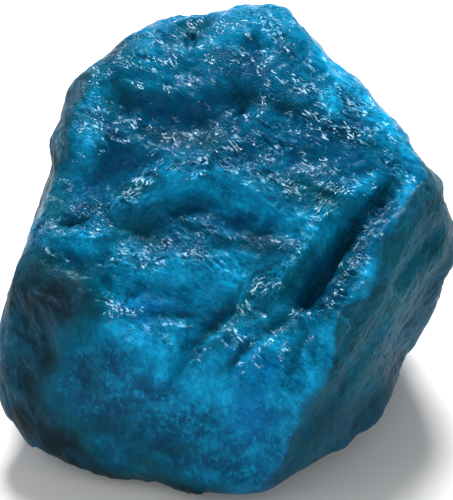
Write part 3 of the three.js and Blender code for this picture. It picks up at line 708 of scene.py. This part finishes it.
places = places_of(stone)
normals = normals_of(stone)
spots = on_show_plan(places)
spots[:, 0] += ZONE_WANDER * lumps(places, ZONE_WANDER_SIZE, 7)
spots[:, 1] += ZONE_WANDER * lumps(places, ZONE_WANDER_SIZE, 8)
show = smoothstep(block_normals @ SHOW_OUT, *SHOW_SIDE)
left_of_edge = smoothstep(past(LEFT_EDGE), -1.5 * BLEND, 1.5 * BLEND)
right_of_crest = smoothstep(past(CREST_LINE), -BLEND / 2, BLEND / 2)
left_sliver = smoothstep(past(SLIVER_LINE), -BLEND / 2, BLEND / 2)
below_break = smoothstep(past(BREAK_LINE), -BLEND, BLEND)
left = show * np.maximum(left_of_edge, left_sliver)
right = show * right_of_crest
beyond = np.clip(past(CREST_LINE) / BEYOND_REACH, 0, 1)
fresh = show * (1 - np.maximum(np.maximum(left_of_edge, right_of_crest), left_sliver))
depth = (places - SHOW_MIDDLE) @ SHOW_OUT + SLIVER_WANDER * lumps(places, ZONE_WANDER_SIZE, 9)
sliver = show * left_sliver * smoothstep(spots[:, 1], *SLIVER_HEIGHT) * smoothstep(depth, *SLIVER_DEPTH)
front = fresh * below_break
face = fresh * (1 - below_break)
print("share of points on the stepped face:", round(float(face.mean()), 2))

# %% Which way the scales and the grain lie
DOWNWARD_FLOW, UPWARD_FLOW = -35, 38  # the two ways the scales lie, in degrees on the show plan
UPWARD_PATCHES = [((-11, 7.4), (7, 3.2)), ((10, 7), (3.6, 2.4)), ((6, -4), (4, 5))]
UPWARD_EDGE = (0.2, 0.6)  # how soft these patches' edges are
MAIN_CREST = (0.5, 0.75, 0.436)  # along the edge over the right flank
LEFT_GRAIN = (0.4, -0.45, -0.8)  # down the left flank
FRONT_GRAIN = (0.2, 0.3, 1)  # up the front break
ACROSS = (1, 0, 0)
BEND = 0.35  # how far the scales and dishes wander, in mm

upward = np.zeros(len(places))
for middle, radii in UPWARD_PATCHES:
    away = (spots - middle) / radii
    upward = np.maximum(upward, np.exp(-(away**2).sum(axis=1)))
upward = smoothstep(upward, *UPWARD_EDGE)
smooth = patched(spots_drawn, DEEP)
bend = places + BEND * np.stack([lumps(places, 1.7, seed) for seed in (9, 10, 11)], axis=1)
print("share of points where the scales lie upward:", round(float(upward.mean()), 2))


# %% Scales on the stepped face, and grain elsewhere
# Each term is a height in mm times a form with its direction, size, stretch and seed.
def torn(turn, seed):
    """Scales that lie one way: dishes, smaller dishes in them, and sharp crests."""
    way = on_show(turn)
    return (
        -0.6 * dishes(bend, way, 2.2, 1.7, seed)
        - 0.42 * dishes(bend, way, 1, 2, seed + 2)
        + 0.05 * ridged(grain(places, way, 0.9, 2.2, seed + 4))
    )


scales = (1 - upward) * torn(DOWNWARD_FLOW, 1) + upward * torn(UPWARD_FLOW, 2)
hummocks = 0.3 * grain(places, ACROSS, 3, 1, 3)
fine = face * ((1 - 0.6 * smooth) * scales + (1 - 0.4 * smooth) * hummocks)
fine += front * (
    0.3 * grain(places, FRONT_GRAIN, 4, 1.4, 4)
    + 0.06 * grain(places, FRONT_GRAIN, 1, 1.6, 5)
)
fine += right * (
    0.3 * grain(places, MAIN_CREST, 2.2, 4, 6)
    - 0.3 * dishes(bend, MAIN_CREST, 1.6, 1.5, 7)
    - 0.2 * dishes(bend, MAIN_CREST, 0.8, 1.6, 12)
)
fine += left * (
    0.3 * grain(places, LEFT_GRAIN, 2.4, 3, 8)
    + 0.1 * ridged(grain(places, LEFT_GRAIN, 0.9, 4, 9))
)
fine += (1 - show) * (
    0.25 * grain(places, MAIN_CREST, 2.6, 2, 10)
    + 0.1 * ridged(grain(places, MAIN_CREST, 1.1, 3, 11))
    - 0.7 * dishes(bend, MAIN_CREST, 3.4, 1.4, 13)
    - 0.35 * dishes(bend, MAIN_CREST, 1.3, 1.6, 14)
)

# %% Hairline creases
CREASE_FADE = 1.2  # how far from its ends a crease reaches its full depth
CREASES = [  # a path, a width and a depth
    ([[-20.4, 3.5], [-18, 3.6], [-15.6, 3.8]], 0.25, 0.35),
    ([[-9.4, -7.1], [-7.2, -7.4], [-4.6, -7.6], [-2.6, -7]], 0.3, 0.35),
    ([[19, 8.2], [16, 4.9], [14, 2.2], [12.3, -0.4], [10.6, -3.3], [8.5, -6.2]], 0.3, 0.6),
    ([[2.2, -3.1], [-0.5, -7], [-2.5, -9.5], [-4.2, -12], [-6, -14.5]], 0.3, 0.4),
    ([[11.4, 2.8], [9, -1.4], [6.8, -4.8]], 0.25, 0.25),
    ([[9, -8.6], [7.9, -11.6], [6.6, -14.7]], 0.3, 0.25),
    ([[2.6, 17.6], [1.4, 16.2], [0.6, 15.4]], 0.25, 0.6),
    ([[-4.4, 27], [-4.2, 25], [-3.8, 23.6]], 0.25, 0.5),
]
for path, width, depth in CREASES:
    signed, ends, _ = along_path(spots_drawn, path, CREASE_FADE)
    fine -= (face + front) * depth * ends * np.exp(-((signed / width) ** 2))
move_to(stone, places + normals * fine[:, None])
print("fine breakage from", round(fine.min(), 2), "to", round(fine.max(), 2), "mm")

# %% [markdown]
# ## A base to stand on
#
# The underside is a flat break. It could be sliced off and filled, but a filled face of
# many corners is hard to shade. So a plane only cuts a clean edge round the stone, and the
# points below that edge are pressed up onto the plane, which keeps the mesh closed. The
# cut makes new points, so the zones ride through it as layers on the points, which it
# fills in by itself. The stone is then moved so that the middle of its box is over the
# middle of the plain solid's, and it rests at the same height.

# %% Cut the base flat
BASE_CUT = 0.5  # how far above the block's lowest corners the base lies
LAYERS = ("face", "front", "left", "right", "upward", "beyond", "sliver")
layers = [stone.verts.layers.float.new(name) for name in LAYERS]
for layer, values in zip(layers, (face, front, left, right, upward, beyond, sliver)):
    for vert, value in zip(stone.verts, values):
        vert[layer] = value
whole = stone.verts[:] + stone.edges[:] + stone.faces[:]
bmesh.ops.bisect_plane(stone, geom=whole, plane_co=(0, 0, BASE_CUT), plane_no=(0, 0, 1))
triangulated(stone)
for vert in stone.verts:
    vert.co.z = max(vert.co.z, BASE_CUT)
final = places_of(stone)
carried = [[vert[layer] for vert in stone.verts] for layer in layers]
print("box of the carved stone, in mm:", np.round(final.min(0), 2), np.round(final.max(0), 2))

# %% Put it where the plain solid stands
middle = (final.min(0) + final.max(0)) / 2
cad_middle = np.array((cad_low + cad_high) / 2) / MM
shift = cad_middle - middle
shift[2] = -BASE_CUT
move_to(stone, (final + shift) * MM)
print("shifted by, in mm:", np.round(shift, 3))

# %% Hand the piece over
mesh = bpy.data.meshes.new("amazonite_lump")
for layer_name in LAYERS:
    stone.verts.layers.float.remove(stone.verts.layers.float[layer_name])
stone.to_mesh(mesh)
stone.free()
mesh.shade_smooth()
lump = bpy.data.objects.new("amazonite_lump", mesh)
bpy.context.scene.collection.objects.link(lump)
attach(lump, "root")
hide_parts("raw_amazonite")
zones = {name: np.array(values) for name, values in zip(LAYERS, carried)}
print("triangles:", len(mesh.polygons))

# %% See how far it lies from the plain solid
carved = BVHTree.FromObject(lump, bpy.context.evaluated_depsgraph_get())
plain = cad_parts["raw_amazonite"].data
gaps = np.array([carved.find_nearest(v.co)[3] for v in plain.vertices]) / MM
print("the plain solid lies within", round(gaps.max(), 2), "mm of it,", round(gaps.mean(), 3), "on average")

# %% [markdown]
# ## What the finish needs to know
#
# A broken feldspar isn't one colour. It is deep blue in places, greenish in a few veins,
# and slate grey where the skin has weathered. The finish also paints shade, deep blue and
# dark in hollows, on walls turned from the light and on the flanks, and paints light, milky
# cyan along thin edges and on crests. The mesh carries this as attributes, one number for
# each point, so that a colour follows the form it belongs to and stays in place from every side.

# %% Measure how hollow or proud the skin is
NEAR_ROUNDS, FAR_ROUNDS = 6, 90  # how widely the skin and the ground under it are evened out


def spread(values, rounds):
    """Each point takes the mean of its neighbours, again and again."""
    for _ in range(rounds):
        total = np.stack(
            [
                np.bincount(pairs[:, 0], axis[pairs[:, 1]], len(values))
                + np.bincount(pairs[:, 1], axis[pairs[:, 0]], len(values))
                for axis in values.T
            ],
            axis=1,
        )
        values = total / valence[:, None]
    return values


skin = np.empty(len(mesh.vertices) * 3)
mesh.vertices.foreach_get("co", skin)
skin = skin.reshape(-1, 3) / MM
skin_normals = np.empty(len(mesh.vertices) * 3)
mesh.vertices.foreach_get("normal", skin_normals)
skin_normals = skin_normals.reshape(-1, 3)
pairs = np.empty(len(mesh.edges) * 2, dtype=np.int64)
mesh.edges.foreach_get("vertices", pairs)
pairs = pairs.reshape(-1, 2)
valence = np.bincount(pairs.ravel(), minlength=len(skin))
near = spread(skin, NEAR_ROUNDS)
far = spread(near, FAR_ROUNDS)
proud = ((near - far) * skin_normals).sum(axis=1)
print("proud of the ground by", round(proud.min(), 2), "to", round(proud.max(), 2), "mm")

# %% Hand it to the mesh as attributes
# the hollow share sets painted shade in hollows, the crest share painted light on proud spots
HOLLOW_BY, CREST_BY = (0, 0.6), (0.05, 0.6)  # mm below or above the ground, from none to all
PATCH_FACING = (-0.1, 0.25)  # the patches fade where the skin turns away from the show side

spots = on_show_plan(skin - shift)
show_side = smoothstep(skin_normals @ SHOW_OUT, *PATCH_FACING)
attributes = {
    "hollow": smoothstep(-proud, *HOLLOW_BY),
    "crest": smoothstep(proud, *CREST_BY),
    "deep": show_side * patched(spots, DEEP),
    "royal": show_side * patched(spots, ROYAL),
    "dark": show_side * patched(spots, DARK),
    "green": show_side * patched(spots, GREEN),
    "bright": show_side * patched(spots, LIT_PATCHES),
    "glitter": show_side * patched(spots, GLITTER),
    **zones,
}
for name, values in attributes.items():
    layer = mesh.attributes.new(name, "FLOAT", "POINT")
    layer.data.foreach_set("value", values.astype(np.float32))
print("attributes:", ", ".join(attributes))

# %% [markdown]
# ## Shader maths as Python
#
# A shader tree is only arithmetic, so it reads best as arithmetic. A Signal wraps one
# output socket, and adding or multiplying signals makes the Math nodes. A Finish is the
# workshop, whose make method makes every node. A GrainedFinish also knows the few patterns
# that this stone needs, all of them drawn out along some direction.

# %% Arithmetic on sockets
class Signal:
    def __init__(self, finish, socket):
        self.finish = finish
        self.socket = socket

    def math(self, operation, *terms):
        return self.finish.make("ShaderNodeMath", {"operation": operation}, dict(enumerate(terms)))

    def __add__(self, other):
        return self.math("ADD", self, other)

    def __radd__(self, other):
        return self.math("ADD", other, self)

    def __sub__(self, other):
        return self.math("SUBTRACT", self, other)

    def __rsub__(self, other):
        return self.math("SUBTRACT", other, self)

    def __mul__(self, other):
        return self.math("MULTIPLY", self, other)

    def __rmul__(self, other):
        return self.math("MULTIPLY", other, self)

    def __abs__(self):
        return self.math("ABSOLUTE", self)

    def within(self, low, high):
        """0 below low, 1 above high, and a smooth rise between them."""
        return self.finish.make(
            "ShaderNodeMapRange",
            {"interpolation_type": "SMOOTHSTEP"},
            {"Value": self, "From Min": low, "From Max": high},
        )


# %% The workshop for finishes
class Finish:
    def __init__(self, name):
        self.material = bpy.data.materials.new(name)
        self.material.use_nodes = True
        self.tree = self.material.node_tree
        self.tree.nodes.clear()

    def make(self, kind, settings=None, values=None, output=0):
        """A node of this type, with its settings, then the values or links of its sockets."""
        node = self.tree.nodes.new(kind)
        for name, value in (settings or {}).items():
            setattr(node, name, value)
        for name, value in (values or {}).items():
            if isinstance(value, Signal):
                self.tree.links.new(value.socket, node.inputs[name])
            else:
                node.inputs[name].default_value = value
        return Signal(self, node.outputs[output]) if node.outputs else None

    def finished(self, shader):
        self.make("ShaderNodeOutputMaterial", values={"Surface": shader})
        return self.material

    def attribute(self, name):
        return self.make("ShaderNodeAttribute", {"attribute_name": name}, output="Fac")

    def blend(self, under, over, share):
        """One colour turning into another."""
        return self.make(
            "ShaderNodeMix",
            {"data_type": "RGBA", "clamp_factor": True},
            {0: share, 6: under, 7: over},
            output=2,
        )

    def coated(self, colour, coats):
        """Coats of colour laid over one another, each with the share that it covers."""
        for over, share in coats:
            colour = self.blend(colour, over, share)
        return colour

    def between(self, under, over, share):
        """One vector turning into another."""
        return self.make("ShaderNodeMix", {"data_type": "VECTOR"}, {0: share, 4: under, 5: over}, output=1)

    def vector(self, operation, *terms, output="Vector"):
        return self.make("ShaderNodeVectorMath", {"operation": operation}, dict(enumerate(terms)), output)

    def dot(self, signal, row):
        return self.vector("DOT_PRODUCT", signal, row, output="Value")


# %% Patterns drawn out along a direction
BEND_SCALE = 0.7  # how finely a bent grain wanders, in lumps per mm
CHIP_BEND = 0.6  # how far the chips' edges wander, in mm
FACET_BEND = 0.9  # how far a facet's edges wander, in its own sizes
FACET_BEND_SCALE = 1.3  # and how finely, in lumps per facet


class GrainedFinish(Finish):
    def wobble(self, place, scale, detail):
        """Three numbers from 0 to 1 that drift from place to place."""
        values = {"Vector": place, "Scale": scale, "Detail": detail}
        return self.make("ShaderNodeTexNoise", values=values, output="Color")

    def squeezed(self, along, size, stretch, bend=0):
        """Coordinates in which a lump is `size` mm across and `stretch` times as long."""
        axis, side, third = grain_axes(along)
        rows = [axis / (size * stretch * MM), side / (size * MM), third / (size * MM)]
        place = self.make("ShaderNodeTexCoord", output="Object")
        if bend:
            drift = self.wobble(place, BEND_SCALE / MM, 1)
            place = self.vector("MULTIPLY_ADD", drift, (bend * MM,) * 3, place)
        parts = [self.dot(place, row) for row in rows]
        return self.make("ShaderNodeCombineXYZ", values=dict(enumerate(parts)))

    def noise(self, size, along=(1, 0, 0), stretch=1, detail=2, roughness=0.5, distortion=0, bend=0):
        """Noise about 0 to 1, in lumps of this size in mm, their grain bent by some mm."""
        return self.make(
            "ShaderNodeTexNoise",
            {"noise_dimensions": "3D"},
            {
                "Vector": self.squeezed(along, size, stretch, bend),
                "Scale": 1,
                "Detail": detail,
                "Roughness": roughness,
                "Distortion": distortion,
            },
        )

    def veins(self, size, along, stretch, width=0.03):
        """Thin lines, where drawn-out noise crosses its middle."""
        drift = self.noise(size, along, stretch, detail=4, roughness=0.55, distortion=0.5)
        return 1 - abs(drift - 0.5).within(0, width)

    def chips(self, size, along, stretch):
        """How far each point is from the edge of its chip."""
        return self.make(
            "ShaderNodeTexVoronoi",
            {"feature": "DISTANCE_TO_EDGE"},
            {"Vector": self.squeezed(along, size, stretch, CHIP_BEND), "Scale": 1},
        )

    def facets(self, size, along, stretch):
        """Three numbers from -1 to 1 for each small facet, the same all over it."""
        place = self.squeezed(along, size, stretch)
        drift = self.wobble(place, FACET_BEND_SCALE, 2)
        place = self.vector("MULTIPLY_ADD", drift, (FACET_BEND,) * 3, place)
        values = {"Vector": place, "Scale": 1, "Randomness": 1}
        cells = self.make("ShaderNodeTexVoronoi", values=values, output="Color")
        return self.vector("MULTIPLY_ADD", cells, (2, 2, 2), (-1, -1, -1))

# %% [markdown]
# ## The feldspar's finish
#
# The stone is a little translucent, so its shader lets some light run under the surface.
# It could be one colour with noise on it, but then hollows, edges and dark patches would all look
# alike. So it is painted in coats, each with the share that it covers: first the fresh
# break in its blues and greens, with painted shade in its hollows and painted light on its
# edges, then the weathered skin, which is rougher and greyer with a fibrous grain and partly
# shaded with paint, and at last one over the other.

# %% Colours
def display(red, green, blue):
    """A colour given as it looks on screen, from 0 to 255, turned into light."""
    shares = [c / 255 for c in (red, green, blue)]
    return tuple(((c + 0.055) / 1.055) ** 2.4 if c > 0.04 else c / 12.92 for c in shares) + (1,)


DEEP_BLUE = display(0, 62, 98)
BODY_BLUE = display(2, 100, 136)
MILKY_BLUE = display(5, 152, 202)
VEIN_GREEN = display(2, 80, 94)
# a dark teal used only as painted shade
SHADE_TEAL = display(1, 46, 60)
ROYAL_BLUE = display(0, 106, 172)
ICE_BLUE = display(24, 178, 232)
SLATE = display(20, 74, 98)
SLATE_DARK = display(12, 42, 56)
SLATE_PALE = display(62, 112, 134)
SKIN_PALE = display(108, 142, 152)
UMBER = display(14, 28, 36)

# %% Clouds, mottling and grit
feldspar = GrainedFinish("amazonite")
mask = {name: feldspar.attribute(name) for name in attributes}
clouds = feldspar.noise(6, detail=3, distortion=0.4)
mottle = feldspar.noise(1.7, detail=4, roughness=0.58, distortion=0.3)
marbling = feldspar.noise(3.6, detail=3, roughness=0.55, distortion=0.4)
grit = feldspar.noise(0.6, (-0.3, -0.3, 1), 1.5, detail=5, roughness=0.68, distortion=0.4)
block = 0.5 + feldspar.dot(feldspar.facets(1.5, on_show(78), 1.5), (0, 0.5, 0))
milk = (0.32 * marbling + 0.28 * mottle + 0.34 * grit + 0.06 * block).within(0.4, 0.62)
ice = (0.4 * mottle + 0.5 * grit + 0.1 * block).within(0.46, 0.66)
frost = feldspar.veins(1.5, on_show(70), 2) * grit.within(0.45, 0.6)  # thin broken threads
print("nodes after the patterns:", len(feldspar.tree.nodes))

# %% Coats of the fresh break, with painted shade and painted light among them
cloudy = 0.5 * clouds.within(0.35, 0.62) + 0.5 * mottle.within(0.35, 0.65)
broken_colour = feldspar.coated(
    feldspar.blend(DEEP_BLUE, BODY_BLUE, cloudy),
    [
        (MILKY_BLUE, 0.45 * mask["front"] * milk),
        # painted light: thin edges glowing and swellings catching the light
        (MILKY_BLUE, mask["bright"] * (0.55 + 0.35 * milk)),
        # painted light on the lit patches, and the front break's own icy specks
        (ICE_BLUE, (0.75 * mask["bright"] + 0.15 * mask["front"]) * ice),
        # painted highlight on proud spots of the face
        (MILKY_BLUE, 0.3 * mask["crest"] * mask["face"]),
        (VEIN_GREEN, 0.75 * mask["green"]),
        # partly painted shade in the deep patches
        (DEEP_BLUE, mask["deep"] * (1 - 0.5 * milk)),
        (ROYAL_BLUE, 0.6 * mask["royal"]),
        # painted shade in the hollows of the face
        (DEEP_BLUE, 0.5 * mask["hollow"] * mask["face"]),
        # painted shade in the dark patches
        (SHADE_TEAL, 0.7 * mask["dark"]),
        (ICE_BLUE, 0.35 * mask["front"] * frost * (1 - mask["dark"])),
        (VEIN_GREEN, 0.6 * mask["left"].within(0, 0.5)),
    ],
)
print("nodes after the fresh break:", len(feldspar.tree.nodes))

# %% Grain of the weathered skin, with painted light on crests and painted shade in hollows
patches = feldspar.noise(2.6, LEFT_GRAIN, 1.6, detail=5, roughness=0.62, distortion=1)
fibres = feldspar.noise(0.6, MAIN_CREST, 3, detail=5, roughness=0.7, distortion=0.6)
strands = feldspar.noise(0.4, (-0.1, 0.2, 1), 6, detail=4, roughness=0.6, bend=0.2)
strands = strands.within(0.38, 0.7) * patches.within(0.35, 0.6)
chipped = mask["right"] * (1 - feldspar.chips(0.7, MAIN_CREST, 2).within(0, 0.4))  # their edges
hair = mask["left"] * feldspar.veins(1.8, LEFT_GRAIN, 3)  # thin lines down the left flank
fibre_and_shading = patches * (0.5 + 0.5 * mask["left"]) + fibres * (0.5 - 0.5 * mask["left"])
# painted light on crests and painted shade in hollows of the skin
fibre_and_shading = fibre_and_shading + 0.12 * (mask["crest"] - mask["hollow"])

# %% Coats of the weathered skin, partly painted shade
near_crest = 1 - (mask["beyond"] + 0.35 * (clouds - 0.5)).within(0.35, 0.95)
# painted shade in the dark patches, in hollows and along the lower left edge
skin_shade = mask["dark"] * (0.55 + 0.35 * (1 - patches.within(0.42, 0.58)))
weathered_and_shaded = feldspar.coated(
    # the slate is darker than the fresh break, partly as painted shade on flanks turned from the light
    feldspar.blend(SLATE_DARK, SLATE, fibre_and_shading.within(0.35, 0.68)),
    [
        (VEIN_GREEN, 0.7 * mask["right"] * near_crest),
        (BODY_BLUE, 0.6 * mask["right"] * near_crest * fibres.within(0.42, 0.62)),
        (SLATE_PALE, (0.6 * hair + 0.1 * chipped) * patches.within(0.35, 0.65)),
        # painted shade from the dark patches, with some random dark tone from the clouds
        (UMBER, skin_shade + 0.35 * (1 - clouds.within(0.35, 0.6))),
        # painted shade where the deep patches fall on the skin
        (UMBER, 0.45 * mask["deep"]),
        (SKIN_PALE, 0.8 * strands * mask["sliver"]),
    ],
)
fresh = (mask["face"] + mask["front"] + 0.5 * (mottle - 0.5)).within(0.15, 0.85)
colour = feldspar.blend(weathered_and_shaded, broken_colour, fresh)
print("nodes after the weathered skin:", len(feldspar.tree.nodes))

# %% [markdown]
# ## Flashing flats
#
# Feldspar splits along flat planes, so the tiny steps on a torn face nearly all look the
# same way, whatever the face itself does, and flash together. Steps this small can't be
# carved, and a bump would tilt them at random. So small facets are picked here and there,
# and their normals are turned almost all the way to that one direction, each a little
# differently. Thin hatching breaks them up, and its gaps are painted dark as shade in the lines between
# flats.

# %% Which way the flats lie and face
CLEAVAGE_FLAT = (0, -0.139, 0.99)  # the way the cleavage flats face, all over the show side
FLAT_SPREAD = (0.16, 0.1, 0)  # how much they differ from it
FLATNESS = 0.95  # how far a normal is turned to it

along_up = mask["upward"].within(0.4, 0.6)
ways = [on_show(turn) for turn in (DOWNWARD_FLOW, UPWARD_FLOW)]
tilt = feldspar.between(*[feldspar.facets(0.8, way, 1.6) for way in ways], along_up)
hatching = [feldspar.noise(0.19, way, 4.5, detail=1, bend=0.8) for way in ways]
hatch = (1 - along_up) * hatching[0] + along_up * hatching[1]

# %% Where they flash
chance = feldspar.dot(tilt, (0, 0, 0.5)) + 0.5
round_normal = feldspar.make("ShaderNodeNewGeometry", output="Normal")
towards = feldspar.dot(round_normal, CLEAVAGE_FLAT)
on_face = 0.15 + mask["glitter"] * (0.34 + 0.5 * mottle.within(0.35, 0.65))
on_front = 0.22 * mask["front"] * mottle.within(0.5, 0.65)
glitter = mask["face"] * (1 - 0.8 * mask["dark"]) * on_face + on_front
flashing = (glitter - chance).within(-0.02, 0.04) * hatch.within(0.52, 0.56) * towards.within(0.35, 0.6)
flat = feldspar.vector("MULTIPLY_ADD", tilt, FLAT_SPREAD, CLEAVAGE_FLAT)
facing_now = feldspar.vector("NORMALIZE", feldspar.between(round_normal, flat, FLATNESS * flashing))
scaly = mask["face"] * (0.3 + mask["glitter"])
# painted shade in the valleys between the flats
gap_shade = 0.6 * scaly * (1 - 0.8 * mask["bright"]) * (1 - hatch.within(0.36, 0.5))
colour = feldspar.blend(colour, SHADE_TEAL, gap_shade)
print("nodes after the flats:", len(feldspar.tree.nodes))

# %% Relief, gloss and light under the surface
RELIEF_HEIGHT = 0.3 * MM
LIGHT_RUN = 1 * MM  # how far light runs under the surface
fine_relief = (
    0.5 * scaly * hatch.within(0.3, 0.56)
    + mask["front"] * (0.8 * grit + 0.15 * block)
    + (1 - fresh) * (0.45 * fibre_and_shading + 0.12 * hair + 0.2 * chipped)
)
relief = {"Strength": 1, "Distance": RELIEF_HEIGHT, "Height": fine_relief, "Normal": facing_now}
shader = feldspar.make(
    "ShaderNodeBsdfPrincipled",
    values={
        "Base Color": colour,
        "Roughness": 0.16 + 0.3 * (1 - fresh) + 0.2 * mask["front"] + 0.03 * flashing,
        "Normal": feldspar.make("ShaderNodeBump", values=relief),
        "IOR": 1.53,
        "Specular IOR Level": 0.1,
        "Specular Tint": (0.42, 0.8, 1, 1),
        "Subsurface Weight": 0.3,
        "Subsurface Radius": (0.25, 0.8, 1.1),
        "Subsurface Scale": LIGHT_RUN,
    },
)
mesh.materials.append(feldspar.finished(shader))
print("nodes in all:", len(feldspar.tree.nodes))

# %% [markdown]
# ## Floor, light and camera
#
# A wet looking stone shows what is around it, so the studio is kept plain: a pale floor, an
# even white sky, and two large weak lamps from the left and the front that model the form.
# The flats need one small strong lamp high up behind, where they mirror it to the camera.
# The camera looks down at the show side from the front.

# %% Floor
FLOOR_REACH = 3  # metres from its middle to each side
FLOOR_GREY = 0.8

floor_mesh = bmesh.new()
bmesh.ops.create_grid(floor_mesh, x_segments=1, y_segments=1, size=FLOOR_REACH)
floor_data = bpy.data.meshes.new("floor")
floor_mesh.to_mesh(floor_data)
floor_mesh.free()
floor = bpy.data.objects.new("floor", floor_data)
bpy.context.scene.collection.objects.link(floor)
pale = bpy.data.materials.new("pale_floor")
pale.use_nodes = True
floor_finish = pale.node_tree.nodes["Principled BSDF"]
floor_finish.inputs["Base Color"].default_value = (FLOOR_GREY, FLOOR_GREY, FLOOR_GREY, 1)
floor_data.materials.append(pale)
print("the floor is", 2 * FLOOR_REACH, "m across")

# %% Light
AIM = Vector((-0.150, -2.487, 19.9)) * MM  # what the lamps and the camera look at
SKY_STRENGTH = 0.38
LAMPS = [  # azimuth and elevation in degrees, distance, width and height in m, radiance
    ("behind", 0, 126, 0.5, 0.2, 0.1, 75),
    ("left", -75, 40, 0.7, 0.5, 0.5, 1),
    ("front", 10, 14, 0.7, 0.8, 0.5, 1.8),
]


def softbox(name, azimuth, elevation, distance, width, height, radiance):
    """An oblong lamp aimed at the stone. Its radiance is what a mirror would show."""
    a, e = math.radians(azimuth), math.radians(elevation)
    back = Vector((math.sin(a) * math.cos(e), -math.cos(a) * math.cos(e), math.sin(e)))
    lamp = bpy.data.lights.new(name, "AREA")
    lamp.shape = "RECTANGLE"
    lamp.size, lamp.size_y = width, height
    lamp.energy = math.pi * width * height * radiance
    holder = bpy.data.objects.new(name, lamp)
    holder.location = AIM + back * distance
    holder.rotation_euler = back.to_track_quat("Z", "Y").to_euler()
    bpy.context.scene.collection.objects.link(holder)


for lamp_values in LAMPS:
    softbox(*lamp_values)
world = bpy.data.worlds.new("studio")
world.use_nodes = True
sky = world.node_tree.nodes["Background"]
sky.inputs["Color"].default_value = (1, 1, 1, 1)
sky.inputs["Strength"].default_value = SKY_STRENGTH
bpy.context.scene.world = world
bpy.context.scene.view_settings.view_transform = "Standard"
print("lamps:", len(LAMPS))

# %% Camera
VIEW_DISTANCE = 400 * MM
VIEW_SPAN = 57.8 * MM  # what the long side of the frame takes in, at the stone
SENSOR = 36  # mm, along that side
lens = bpy.data.cameras.new("camera")
lens.sensor_width = SENSOR
lens.lens = SENSOR * VIEW_DISTANCE / VIEW_SPAN
camera = bpy.data.objects.new("camera", lens)
camera.location = AIM + Vector(SHOW_OUT) * VIEW_DISTANCE
camera.rotation_euler = Vector(SHOW_OUT).to_track_quat("Z", "Y").to_euler()
bpy.context.scene.collection.objects.link(camera)
bpy.context.scene.camera = camera
print("lens, in mm:", round(lens.lens, 1))
